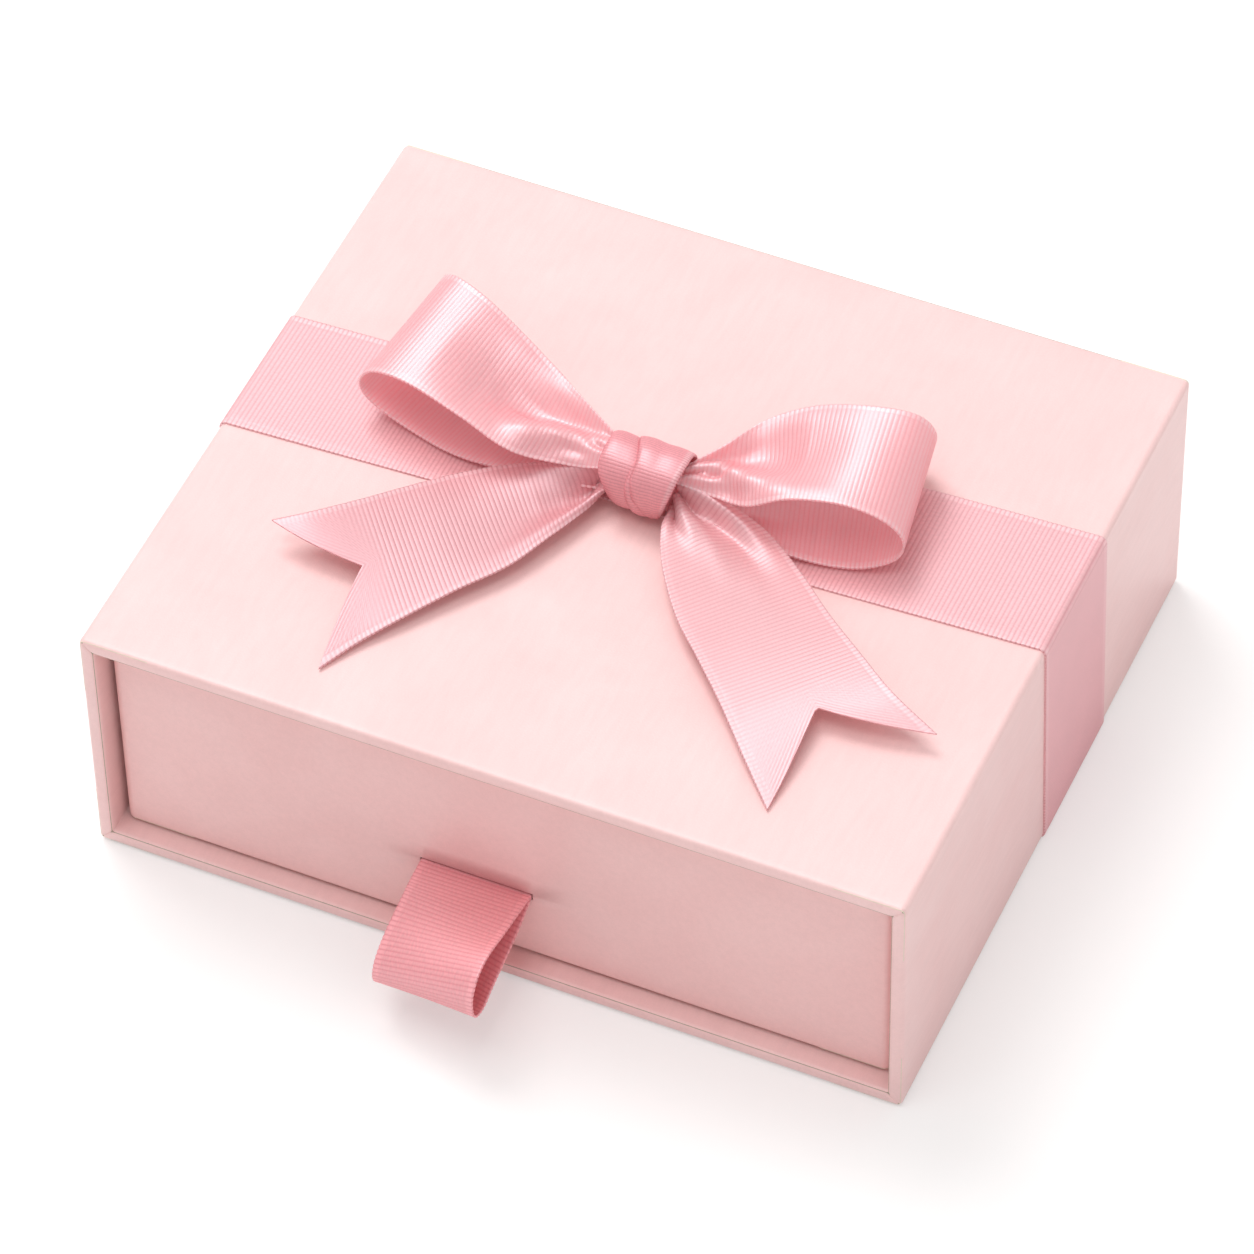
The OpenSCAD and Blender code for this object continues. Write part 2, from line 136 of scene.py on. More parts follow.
table_white, tree = new_material("matt_white_table_laminate")
matt = add(tree, "ShaderNodeBsdfDiffuse", {"Color": linear(TABLE_WHITE)})
glow = add(tree, "ShaderNodeEmission", {"Color": linear("#FFFFFF"), "Strength": TABLE_GLOW_LEVEL})
path = add(tree, "ShaderNodeLightPath")
glow_mix = add(tree, "ShaderNodeMath", {0: path.outputs["Is Camera Ray"], 1: TABLE_GLOW},
               operation="MULTIPLY")
finish_material(tree, add(tree, "ShaderNodeMixShader", {
    0: glow_mix.outputs[0], 1: matt.outputs[0], 2: glow.outputs[0]}))
half_table = TABLE_SIZE / 2
table_mesh = bpy.data.meshes.new("table_top")
table_mesh.from_pydata([(x, y, 0) for y in (-half_table, half_table) for x in (-half_table, half_table)],
                       [], [(0, 1, 3, 2)])
table_mesh.materials.append(table_white)
table_top = bpy.data.objects.new("table_top", table_mesh)
bpy.context.scene.collection.objects.link(table_top)

for name, stands, level_light in SOFTBOXES:
    softbox_data = bpy.data.lights.new(name, "AREA")
    softbox_data.shape = "SQUARE"
    softbox_data.size = SOFTBOX_SIZE
    towards = stands.normalized()
    # Watts for which a level matt surface reflects level_light times its own colour.
    softbox_data.energy = level_light * math.pi ** 2 * SOFTBOX_AWAY ** 2 / towards.z
    softbox = bpy.data.objects.new(name, softbox_data)
    softbox.location = towards * SOFTBOX_AWAY
    softbox.rotation_mode = "QUATERNION"
    softbox.rotation_quaternion = (-towards).to_track_quat("-Z", "Y")
    bpy.context.scene.collection.objects.link(softbox)

world = bpy.data.worlds.new("white_room")
world.use_nodes = True
world.node_tree.nodes.clear()
tree = world.node_tree
path = add(tree, "ShaderNodeLightPath")
towards = add(tree, "ShaderNodeSeparateXYZ", {0: add(tree, "ShaderNodeTexCoord").outputs["Generated"]})
lit = add(tree, "ShaderNodeMapRange", {
    "Value": towards.outputs["Y"], "From Min": -1.0, "From Max": 1.0,
    "To Min": ROOM_FRONT, "To Max": ROOM_BACK})
strength = add(tree, "ShaderNodeMix", {"Factor": path.outputs["Is Camera Ray"], 2: lit.outputs[0], 3: 1.0})
room = add(tree, "ShaderNodeBackground", {"Color": linear("#FFFFFF"), "Strength": strength.outputs[0]})
output = add(tree, "ShaderNodeOutputWorld")
tree.links.new(room.outputs[0], output.inputs["Surface"])
bpy.context.scene.world = world


# ---- Sleeve paper ----
# Pearl paper of about 150 g/m2 over greyboard. One sheet goes round the four sides, is
# turned in over the mouth and folded over the back edges, with a mitre at each corner.
# A cut panel is glued over the folded margins on the closed back.
PAPER_T = 0.2
TAPE_T = 0.1
BOARD_T = 2.0
WALL_T = 2 * PAPER_T + TAPE_T + BOARD_T
TURN_IN = 14.0
LIP_R = 0.8
SLEEVE_EDGE_R = 1.0
LEAST_R = 0.25
SEAM_DEEP = 0.16
SEAM_WIDE = 0.16
PANEL_INSET = 2.0
CUT_CORNER_R = 0.8
CUT_SOFT = 0.08
PAPER_PINK = "#F8CFCD"
PAPER_DEEP = "#F3C5C3"
PAPER_PALE = "#FBD9D7"
SLEEVE_GLOSS = 0.35


def pearl_paper(name, base, deep, pale, gloss):
    """Coated pearl paper: soft clouds in the coating, paper fibres and a faint felt-mark
    grain on the diagonal, under a broad satin gloss."""
    material, tree = new_material(name)
    place = add(tree, "ShaderNodeTexCoord").outputs["Object"]
    clouds = add(tree, "ShaderNodeTexNoise", {"Vector": place, "Scale": 1 / 0.021, "Detail": 5.0,
                                              "Roughness": 0.62, "Distortion": 0.4})
    slant = add(tree, "ShaderNodeMapping", {"Vector": place, "Rotation": (0.3, 0.5, 0.62),
                                            "Scale": (1.0, 0.16, 1.0)})
    # Felt marks are 0.5 mm apart on the real sheet, drawn at 1.1 mm so that they show.
    felt = add(tree, "ShaderNodeTexNoise", {"Vector": slant.outputs[0], "Scale": 1 / 0.0011, "Detail": 3.0,
                                            "Roughness": 0.55})
    # Fibres are 0.02 mm wide, drawn at 0.35 mm.
    fibres = add(tree, "ShaderNodeTexNoise", {"Vector": place, "Scale": 1 / 0.00035, "Detail": 2.0,
                                              "Roughness": 0.6})
    cloud_mix = add(tree, "ShaderNodeMapRange", {"Value": clouds.outputs[0], "From Min": 0.30,
                                                 "From Max": 0.70})
    tone = add(tree, "ShaderNodeMix", {"Factor": cloud_mix.outputs[0], 6: linear(deep), 7: linear(pale)},
               data_type="RGBA")
    tone = add(tree, "ShaderNodeMix", {"Factor": 0.62, 6: tone.outputs[2], 7: linear(base)},
               data_type="RGBA")
    felt_mix = add(tree, "ShaderNodeMapRange", {
        "Value": felt.outputs[0], "From Min": 0.35, "From Max": 0.65, "To Min": 0.98, "To Max": 1.012})
    fibre_mix = add(tree, "ShaderNodeMapRange", {
        "Value": fibres.outputs[0], "From Min": 0.35, "From Max": 0.65, "To Min": 0.985, "To Max": 1.012})
    shade = add(tree, "ShaderNodeMath", {0: felt_mix.outputs[0], 1: fibre_mix.outputs[0]},
                operation="MULTIPLY")
    colour = add(tree, "ShaderNodeMix", {"Factor": 1.0, 6: tone.outputs[2], 7: shade.outputs[0]},
                 data_type="RGBA", blend_type="MULTIPLY")
    relief = add(tree, "ShaderNodeMath", {0: felt.outputs[0], 1: fibres.outputs[0]}, operation="ADD")
    bump = add(tree, "ShaderNodeBump", {"Strength": 0.35, "Distance": 0.00006,
                                        "Height": relief.outputs[0]})
    rough = add(tree, "ShaderNodeMapRange", {
        "Value": clouds.outputs[0], "From Min": 0.3, "From Max": 0.7, "To Min": 0.44, "To Max": 0.38})
    shader = add(tree, "ShaderNodeBsdfPrincipled", {
        "Base Color": colour.outputs[2], "Roughness": rough.outputs[0], "IOR": 1.5, "Coat Weight": gloss,
        "Coat Roughness": 0.42, "Coat IOR": 1.5, "Normal": bump.outputs[0]})
    finish_material(tree, shader)
    return material


sleeve_pearl = pearl_paper("pearl_coated_paper", PAPER_PINK, PAPER_DEEP, PAPER_PALE, SLEEVE_GLOSS)


def mesh_piece(name, points, faces, material):
    """A smooth piece from points in millimetres."""
    mesh = bpy.data.meshes.new(name)
    mesh.from_pydata((np.asarray(points, float) * MM).tolist(), [], [tuple(f) for f in faces])
    mesh.polygons.foreach_set("use_smooth", [True] * len(mesh.polygons))
    mesh.materials.append(material)
    mesh.update()
    piece = bpy.data.objects.new(name, mesh)
    bpy.context.scene.collection.objects.link(piece)
    return piece


def ring_outline(half_a, half_b, corner_r, inset, places):
    """The sampled points of a rounded rectangle that is moved in by inset."""
    r = max(corner_r - inset, LEAST_R)
    full_r = max(corner_r, LEAST_R)
    signs = ((1, 1), (-1, 1), (-1, -1), (1, -1))
    points = []
    for corner, turn, along in places:
        angle = math.radians(90 * corner + (90 if turn is None else turn))
        a = signs[corner][0] * (half_a - inset - r) + r * math.cos(angle)
        b = signs[corner][1] * (half_b - inset - r) + r * math.sin(angle)
        if turn is None:
            # The four sides run towards -a, -b, +a and +b in turn.
            half = half_b if corner in (1, 3) else half_a
            step = along / (half - full_r) * (half - inset - r)
            a += (-step, 0, step, 0)[corner]
            b += (0, -step, 0, step)[corner]
        points.append((a, b))
    return np.array(points)


def ring_places(half_a, half_b, corner_r, stops):
    """Where the paper is sampled round its outline: close together at the mitred corners,
    wide apart on the flats, and at each value of a in stops on the side with the least b."""
    near = [0.06, 0.12, 0.2, 0.3, 0.45, 0.7, 1.1, 1.8, 3.0, 5.5]
    full_r = max(corner_r, LEAST_R)
    places = []
    for corner in range(4):
        places += [(corner, turn, None) for turn in np.linspace(0, 90, 15)]
        side = 2 * ((half_b if corner in (1, 3) else half_a) - full_r)
        alongs = near + list(np.linspace(9.0, side - 9.0, int(side / 9))) + [side - n for n in near]
        if corner == 2:
            alongs += [stop + half_a - full_r for stop in stops]
        places += [(corner, None, along) for along in sorted(alongs)]
    return places


def arc(centre, r, start, stop, steps=6):
    """Points round part of a circle, between two angles in degrees."""
    return [(centre[0] + r * math.cos(math.radians(t)), centre[1] + r * math.sin(math.radians(t)))
            for t in np.linspace(start, stop, steps)]


def tray_path(depth, margin, levels, t):
    """The paper's path at t under its face, from the folded margin below the closed end,
    up the outside, over the lip and down the inside, as (inset, height) pairs."""
    r = LIP_R - t
    path = [(inset, PAPER_T + t) for inset in (margin, margin / 2, 3.0, 1.6)]
    path += arc((LIP_R, PAPER_T + LIP_R), r, 270, 180)
    heights = [1.6, 3.0, 6.0, *np.linspace(11.0, depth - 8.0, int(depth / 9)), depth - 5.0, depth - 3.0,
               depth - 1.6, *levels]
    path += [(t, h) for h in sorted(heights)]
    path += arc((LIP_R, depth - LIP_R), r, 180, 90)
    path += arc((WALL_T - LIP_R, depth - LIP_R), r, 90, 0)
    path += [(WALL_T - t, depth - h) for h in (1.6, 3.0, 6.0, 10.0, TURN_IN)]
    return path


def quads(grid, around=False):
    """The four-sided faces of a grid of point numbers, closed round its columns if asked."""
    if around:
        grid = np.hstack([grid, grid[:, :1]])
    return np.stack([grid[:-1, :-1], grid[:-1, 1:], grid[1:, 1:], grid[1:, :-1]], -1)


def wrapped_tray(name, half_a, half_b, corner_r, depth, margin, place, material, stops=(), levels=()):
    """Paper round a tray with one closed end. place() turns columns of a, b and height
    into points. The quad between two stops and two levels is left out as a slit."""
    places = ring_places(half_a, half_b, corner_r, stops)
    skins = []
    for t in (0.0, PAPER_T):
        path = tray_path(depth, margin, levels, t)
        skin = []
        for inset, h in path:
            points = ring_outline(half_a, half_b, corner_r, inset, places)
            in_a = half_a - np.abs(points[:, 0])
            in_b = half_b - np.abs(points[:, 1])
            seam = np.exp(-((in_a - in_b) / math.sqrt(2) / SEAM_WIDE) ** 2)
            seam *= (in_a < margin + 1) & (in_b < margin + 1)
            heights = np.full(len(points), h)
            if h <= PAPER_T + t:
                heights += SEAM_DEEP * seam
            if h > depth - LIP_R:
                heights -= SEAM_DEEP * seam
            skin.append(place(points[:, 0], points[:, 1], heights))
        skins.append(skin)
    skins = np.array(skins)
    index = np.arange(skins[..., 0].size).reshape(skins.shape[:3])
    outer, inner = quads(index[0], around=True), quads(index[1], around=True)[..., ::-1]
    kept = np.ones(outer.shape[:2], bool)
    faces = []
    if stops:
        cut_rows = [row for row, (inset, h) in enumerate(tray_path(depth, margin, levels, 0.0))
                    if inset == 0 and levels[0] <= h < levels[-1]]
        first = half_a - max(corner_r, LEAST_R)
        cut_cols = [col for col, (corner, turn, along) in enumerate(places)
                    if corner == 2 and turn is None and stops[0] - 1e-6 <= along - first < stops[-1] - 1e-6]
        kept[np.ix_(cut_rows, cut_cols)] = False
        top, foot, left, far = cut_rows[-1] + 1, cut_rows[0], cut_cols[0], cut_cols[-1] + 1
        rim = [(foot, col) for col in range(left, far)] + [(row, far) for row in range(foot, top)]
        rim += [(top, col) for col in range(far, left, -1)] + [(row, left) for row in range(top, foot, -1)]
        for (r0, c0), (r1, c1) in zip(rim, rim[1:] + rim[:1]):
            faces.append((index[0, r0, c0], index[0, r1, c1], index[1, r1, c1], index[1, r0, c0]))
    faces += outer[kept].tolist() + inner[kept].tolist()
    for row, flip in ((0, -1), (-1, 1)):
        edge = quads(index[::flip, row], around=True)
        faces += edge.reshape(-1, 4).tolist()
    return mesh_piece(name, skins.reshape(-1, 3), faces, material)


def glued_panel(name, half_a, half_b, place, material):
    """A cut sheet of paper glued flat over the folded margins of a closed end."""
    places = ring_places(half_a, half_b, CUT_CORNER_R, ())
    rings = []
    for inset, h in ((CUT_SOFT, 0.0), (0.0, CUT_SOFT), (0.0, PAPER_T)):
        points = ring_outline(half_a, half_b, CUT_CORNER_R, inset, places)
        rings.append(place(points[:, 0], points[:, 1], np.full(len(points), h)))
    rings = np.array(rings)
    index = np.arange(rings[..., 0].size).reshape(rings.shape[:2])
    faces = quads(index, around=True).reshape(-1, 4).tolist()
    faces += [index[0, ::-1].tolist(), index[-1].tolist()]
    return mesh_piece(name, rings.reshape(-1, 3), faces, material)


sleeve_low, sleeve_high = [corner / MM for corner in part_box("sleeve_wrap")]
sleeve_half = (sleeve_high - sleeve_low) / 2
sleeve_mid = (sleeve_high + sleeve_low) / 2


def in_sleeve(a, b, h):
    """Across, up and in from the closed back of the sleeve, as points."""
    return np.stack([a, sleeve_high.y - h, sleeve_mid.z + b], -1)


sleeve_paper = wrapped_tray("sleeve_paper", sleeve_half.x, sleeve_half.z, SLEEVE_EDGE_R, 2 * sleeve_half.y,
                            TURN_IN, in_sleeve, sleeve_pearl)
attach(sleeve_paper, "sleeve")
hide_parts("sleeve_wrap")
back_panel = glued_panel("sleeve_back_panel", sleeve_half.x - PANEL_INSET, sleeve_half.z - PANEL_INSET,
                         in_sleeve, sleeve_pearl)
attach(back_panel, "sleeve")


# ---- Boards, corner tapes and linings ----
# Greyboard of 2 mm, cut square and taped at the corners, stiffens the sleeve and drawer.
# The paper hides it. The insides are lined with the same pearl paper.
GREYBOARD = "#B4A693"
GREYBOARD_FLECK = "#8E8172"
TAPE_KRAFT = "#E6D9C4"
LINING_GLOSS = 0.15

greyboard, tree = new_material("recycled_greyboard")
# Grey pulp board shows darker paper flecks about 0.6 mm across and a soft cloudiness.
place = add(tree, "ShaderNodeTexCoord").outputs["Object"]
pulp = add(tree, "ShaderNodeTexNoise", {"Vector": place, "Scale": 1 / 0.0006, "Detail": 4.0,
                                        "Roughness": 0.7})
fleck = add(tree, "ShaderNodeMapRange", {"Value": pulp.outputs[0], "From Min": 0.55, "From Max": 0.72})
colour = add(tree, "ShaderNodeMix", {
    "Factor": fleck.outputs[0], 6: linear(GREYBOARD), 7: linear(GREYBOARD_FLECK)}, data_type="RGBA")
bump = add(tree, "ShaderNodeBump", {"Strength": 0.5, "Distance": 0.00005, "Height": pulp.outputs[0]})
finish_material(tree, add(tree, "ShaderNodeBsdfPrincipled", {
    "Base Color": colour.outputs[2], "Roughness": 0.9, "Normal": bump.outputs[0]}))

gummed_tape, tree = new_material("gummed_paper_tape")
# Gummed tape is calendered kraft paper, smooth with fine fibres along its length.
place = add(tree, "ShaderNodeTexCoord").outputs["Object"]
long_fibres = add(tree, "ShaderNodeMapping", {"Vector": place, "Scale": (1.0, 0.2, 1.0)})
fibre = add(tree, "ShaderNodeTexNoise", {"Vector": long_fibres.outputs[0], "Scale": 1 / 0.0004,
                                         "Detail": 3.0})
shade = add(tree, "ShaderNodeMapRange", {"Value": fibre.outputs[0], "To Min": 0.9, "To Max": 1.05})
colour = add(tree, "ShaderNodeMix", {"Factor": 1.0, 6: linear(TAPE_KRAFT), 7: shade.outputs[0]},
             data_type="RGBA", blend_type="MULTIPLY")
finish_material(tree, add(tree, "ShaderNodeBsdfPrincipled", {
    "Base Color": colour.outputs[2], "Roughness": 0.6}))

lining = pearl_paper("pearl_lining_paper", PAPER_PINK, PAPER_DEEP, PAPER_PALE, LINING_GLOSS)
for name, node in nodes.items():
    for ending, material in (("_board", greyboard), ("_tapes", gummed_tape), ("_liner", lining)):
        if name.endswith(ending):
            node.data.materials.clear()
            node.data.materials.append(material)


# ---- Drawer paper ----
# The same pearl paper round the drawer's four sides, turned in over the rim and folded
# under the base, with a base panel glued over the folds and a slit for the pull ribbon.
DRAWER_R = 1.5
RIBBON_T = 0.35
SLIT_GAP = 0.25
PLY_GAP = 0.3
# The drawer's paper is a deeper pink than the sleeve's same paper: painted shade.
DRAWER_SHADED_PINK = "#F8C9C7"
DRAWER_SHADED_DEEP = "#F2BFBD"
DRAWER_SHADED_PALE = "#FBD2D0"
DRAWER_GLOSS = 0.3

drawer_shaded_pearl = pearl_paper("pearl_coated_paper_drawer_shaded", DRAWER_SHADED_PINK, DRAWER_SHADED_DEEP, DRAWER_SHADED_PALE,
                           DRAWER_GLOSS)
drawer_low, drawer_high = [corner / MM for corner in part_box("drawer_wrap")]
drawer_half = (drawer_high - drawer_low) / 2
drawer_mid = (drawer_high + drawer_low) / 2
anchor_low, anchor_high = [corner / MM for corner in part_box("pull_tab_anchor")]
slit_left = anchor_low.x - SLIT_GAP
slit_right = anchor_high.x + SLIT_GAP
slit_z = (anchor_low.z + anchor_high.z) / 2
slit_half_h = RIBBON_T + PLY_GAP / 2 + SLIT_GAP


def in_drawer(a, b, h):
    """Across, back and up from under the drawer's base, as points."""
    return np.stack([a, drawer_mid.y + b, drawer_low.z + h], -1)


drawer_paper = wrapped_tray("drawer_paper", drawer_half.x, drawer_half.y, DRAWER_R, 2 * drawer_half.z,
                            TURN_IN, in_drawer, drawer_shaded_pearl, stops=(slit_left, slit_right),
                            levels=(slit_z - slit_half_h - drawer_low.z,
                                    slit_z + slit_half_h - drawer_low.z))
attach(drawer_paper, "drawer")
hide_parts("drawer_wrap")
base_panel = glued_panel("drawer_base_panel", drawer_half.x - PANEL_INSET, drawer_half.y - PANEL_INSET,
                         in_drawer, drawer_shaded_pearl)
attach(base_panel, "drawer")


# ---- Ribbon band ----
# Grosgrain of 26 mm, woven from polyester with a rib every 0.78 mm and a firm selvedge.
# It goes once round the sleeve, flat and a little aslant, glued to itself underneath, and
# on top it is drawn together in pleats under the knot.
RIB_PITCH = 0.78
RIB_SAMPLES = 6
RIB_DEEP = 0.045
CORE_HALF = 0.13
SELVEDGE = 1.1
NO_SELVEDGE = 9.0
THREAD_WIDE = 0.34
GROOVE_WIDE = 0.18
GROOVE_SHARE = 0.85
TOOTH = 0.10
BAND_W = 26.0
BAND_TOP_LEFT = -9.5
BAND_TOP_RIGHT = -3.5
BAND_FOOT_LEFT = -8.0
BAND_FOOT_RIGHT = -0.5
# The band is a deeper pink than the same ribbon in the bow: painted shade.
BAND_SHADED_PINK = "#E1A8AC"
BAND_SHADED_GAP = "#CE858B"
BAND_SHADED_EDGE = "#E8B6B9"
THROUGH_PINK = "#F5E4E5"
SATIN_SHINE = "#6C6265"
SATIN_ROUGHNESS = 0.43
KNOT_HALF_W = 6.75
BAND_NARROWING = 16.0
BAND_GATHERED_W = 6.5
BAND_GATHERED_FRONT = -0.75
BAND_PLEATS = 4
BAND_PLEAT_H = 1.2


def grosgrain(name, base, gap_shade, edge, through=0.0, shine=SATIN_SHINE):
    """Ribbed polyester ribbon: raised satin ribs over gaps with painted shade in a darker pink,
    with fine warp threads across each rib and a denser selvedge. Where it hangs free, some light comes
    through."""
    material, tree = new_material(name)
    uv = add(tree, "ShaderNodeUVMap", uv_map="weave").outputs[0]
    rib = add(tree, "ShaderNodeAttribute", attribute_name="rib").outputs["Fac"]
    strip = add(tree, "ShaderNodeAttribute", attribute_name="selvedge").outputs["Fac"]
    # One patch of noise to a rib along the ribbon. Across it, warp threads are 0.12 mm apart
    # on the real ribbon, drawn wider here.
    thread = add(tree, "ShaderNodeMapping", {
        "Vector": uv, "Scale": (1 / (RIB_PITCH * MM), 1 / (THREAD_WIDE * MM), 1.0)})
    threads = add(tree, "ShaderNodeTexNoise", {"Vector": thread.outputs[0], "Scale": 1.0, "Detail": 1.0,
                                               "Roughness": 0.4})
    place = add(tree, "ShaderNodeTexCoord").outputs["Object"]
    slub = add(tree, "ShaderNodeTexNoise", {"Vector": place, "Scale": 1 / 0.006, "Detail": 3.0})
    # Between the ribs the colour runs down to the darker gap colour: painted shade.
    ribbed = add(tree, "ShaderNodeMix", {"Factor": rib, 6: linear(gap_shade), 7: linear(base)},
                 data_type="RGBA")
    # The weft turns back at the selvedge, so each rib ends in a paler stitch.
    stitched = add(tree, "ShaderNodeMix", {"Factor": rib, 6: linear(gap_shade), 7: linear(edge)},
                   data_type="RGBA")
    edged = add(tree, "ShaderNodeMix", {"Factor": strip, 6: ribbed.outputs[2], 7: stitched.outputs[2]},
                data_type="RGBA")
    thread_shade = add(tree, "ShaderNodeMapRange", {
        "Value": threads.outputs[0], "From Min": 0.3, "From Max": 0.7, "To Min": 0.93, "To Max": 1.04})
    slub_shade = add(tree, "ShaderNodeMapRange", {
        "Value": slub.outputs[0], "From Min": 0.3, "From Max": 0.7, "To Min": 0.975, "To Max": 1.02})
    shade = add(tree, "ShaderNodeMath", {0: thread_shade.outputs[0], 1: slub_shade.outputs[0]},
                operation="MULTIPLY")
    colour = add(tree, "ShaderNodeMix", {"Factor": 1.0, 6: edged.outputs[2], 7: shade.outputs[0]},
                 data_type="RGBA", blend_type="MULTIPLY")
    bump = add(tree, "ShaderNodeBump", {"Strength": 0.35, "Distance": 0.00005,
                                        "Height": threads.outputs[0]})
    yarns = add(tree, "ShaderNodeBsdfPrincipled", {
        "Base Color": colour.outputs[2], "Roughness": 0.55, "IOR": 1.5, "Normal": bump.outputs[0]})
    lit_through = add(tree, "ShaderNodeBsdfTranslucent", {"Color": linear(THROUGH_PINK)})
    cloth = add(tree, "ShaderNodeMixShader", {
        0: through, 1: yarns.outputs[0], 2: lit_through.outputs[0]})
    # The long floats of bright yarn on top of each rib.
    satin = add(tree, "ShaderNodeBsdfGlossy", {
        "Color": linear(shine), "Roughness": SATIN_ROUGHNESS, "Normal": bump.outputs[0]})
    finish_material(tree, add(tree, "ShaderNodeAddShader", {0: cloth.outputs[0], 1: satin.outputs[0]}))
    return material


def across_places(width):
    """Where a ribbon is sampled across, in millimetres: closely at each selvedge."""
    edge = [0.0, 0.25, 0.6, 0.9, SELVEDGE, 1.3, 1.6]
    inner = np.linspace(2.2, width - 2.2, int((width - 4.4) / 0.75) + 1)
    return np.array(edge + list(inner) + [width - e for e in reversed(edge)])


def unit(vectors):
    """Each vector at length 1."""
    return vectors / np.maximum(np.linalg.norm(vectors, axis=-1, keepdims=True), 1e-9)


def ribbon_piece(name, middle, along, across, material, ring=False, selvedges=(1, 1), pitch=RIB_PITCH):
    """Weaves a ribbon round its middle surface: ribs across it, a groove inside each
    selvedge and a small tooth at the end of every rib. middle is rows along and columns
    across, and along and across give each point's place in the flat ribbon."""
    if ring:
        run = np.roll(middle, -1, 0) - np.roll(middle, 1, 0)
    else:
        run = np.gradient(middle, axis=0)
    over = np.gradient(middle, axis=1)
    normal = unit(np.cross(run, over))
    over = unit(over)
    width = across[-1] - across[0]
    rib = np.sin(np.pi * (along / pitch % 1)) ** 0.6
    left, right_edge = across - across[0], across[-1] - across
    edge = np.minimum(np.where(selvedges[0], left, NO_SELVEDGE),
                      np.where(selvedges[1], right_edge, NO_SELVEDGE))
    groove = np.exp(-((edge - SELVEDGE) / GROOVE_WIDE) ** 2)
    strip = np.clip((SELVEDGE - edge) / 0.25 + 0.5, 0, 1)
    raised = rib * pitch / RIB_PITCH * (1 - GROOVE_SHARE * groove)
    middle = middle.copy()
    tooth = TOOTH * (rib - 0.5)[..., None]
    if selvedges[0]:
        middle[:, 0] -= (over * tooth)[:, 0]
    if selvedges[1]:
        middle[:, -1] += (over * tooth)[:, -1]
    half = (CORE_HALF + RIB_DEEP * raised)[..., None]
    points = np.stack([middle + normal * half, middle - normal * half])
    index = np.arange(points[..., 0].size).reshape(points.shape[:3])
    if ring:
        index = np.concatenate([index, index[:, :1]], 1)
    faces = [quads(index[0])[..., ::-1], quads(index[1]), quads(index[::-1, :, 0])[:1],
             quads(index[:, :, -1])[:1]]
    if not ring:
        faces += [quads(index[:, 0])[:1], quads(index[::-1, -1])[:1]]
    faces = np.concatenate([f.reshape(-1, 4) for f in faces])
    piece = mesh_piece(name, points.reshape(-1, 3), faces.tolist(), material)
    # The cut edges are square, so only the two faces are shaded smooth.
    soft = np.arange(len(faces)) < 2 * (index.shape[1] - 1) * (index.shape[2] - 1)
    piece.data.polygons.foreach_set("use_smooth", soft)
    flat = np.stack([along, np.broadcast_to(across, along.shape)], -1) * MM
    flat = np.concatenate([flat.reshape(-1, 2)] * 2)
    weave = piece.data.uv_layers.new(name="weave")
    weave.data.foreach_set("uv", flat[faces.ravel()].ravel().astype(np.float32))
    for title, values in (("rib", rib), ("selvedge", np.broadcast_to(strip, rib.shape))):
        layer = piece.data.attributes.new(title, "FLOAT", "POINT")
        layer.data.foreach_set("value", np.concatenate([values.ravel()] * 2).astype(np.float32))
    return piece


band_shaded_ribbon = grosgrain("grosgrain_ribbon_band_shaded", BAND_SHADED_PINK, BAND_SHADED_GAP, BAND_SHADED_EDGE)
mid_r = SLEEVE_EDGE_R + RIBBON_T / 2
flat_w, flat_h = 2 * (sleeve_half.x - SLEEVE_EDGE_R), 2 * (sleeve_half.z - SLEEVE_EDGE_R)
bend = math.pi / 2 * mid_r
# The band's path from the middle of the underside: right, up, left over the top, down.
runs = [flat_w / 2, bend, flat_h, bend, flat_w, bend, flat_h, bend, flat_w / 2]
stops = np.concatenate([[0.0], np.cumsum(runs)])
path_x, path_z, shift = [], [], []
ribs = round(stops[-1] / RIB_PITCH)
band_along = np.arange(ribs * RIB_SAMPLES) * stops[-1] / (ribs * RIB_SAMPLES)
x1, z1 = flat_w / 2, flat_h / 2
corner_at = [(x1, -z1), (x1, z1), (-x1, z1), (-x1, -z1)]
shifts = [(BAND_FOOT_LEFT + BAND_FOOT_RIGHT) / 2, BAND_FOOT_RIGHT, BAND_FOOT_RIGHT, BAND_TOP_RIGHT,
          BAND_TOP_RIGHT, BAND_TOP_LEFT, BAND_TOP_LEFT, BAND_FOOT_LEFT, BAND_FOOT_LEFT,
          (BAND_FOOT_LEFT + BAND_FOOT_RIGHT) / 2]
for s in band_along:
    leg = min(int(np.searchsorted(stops, s, side="right")) - 1, 8)
    if leg % 2:
        corner = leg // 2
        angle = math.radians(90 * corner - 90) + (s - stops[leg]) / mid_r
        path_x.append(corner_at[corner][0] + mid_r * math.cos(angle))
        path_z.append(corner_at[corner][1] + mid_r * math.sin(angle))
    else:
        step = s - stops[leg]
        side = (leg // 2) % 4
        start = [(0.0 if leg == 0 else -x1, -z1 - mid_r), (x1 + mid_r, -z1), (x1, z1 + mid_r),
                 (-x1 - mid_r, z1)][side]
        way = [(1, 0), (0, 1), (-1, 0), (0, -1)][side]
        path_x.append(start[0] + way[0] * step)
        path_z.append(start[1] + way[1] * step)
    shift.append(np.interp(s, stops, shifts))
band_across = across_places(BAND_W)
path_x, path_z, shift = [np.array(values)[:, None] for values in (path_x, path_z, shift)]
spread = np.clip((np.abs(path_x) - KNOT_HALF_W) / BAND_NARROWING, 0, 1)
spread = np.where(path_z > 0, spread ** 2 * (3 - 2 * spread), 1.0)
front_y = shift * spread + BAND_GATHERED_FRONT * (1 - spread)
width = BAND_W * spread + BAND_GATHERED_W * (1 - spread)
share = band_across / BAND_W
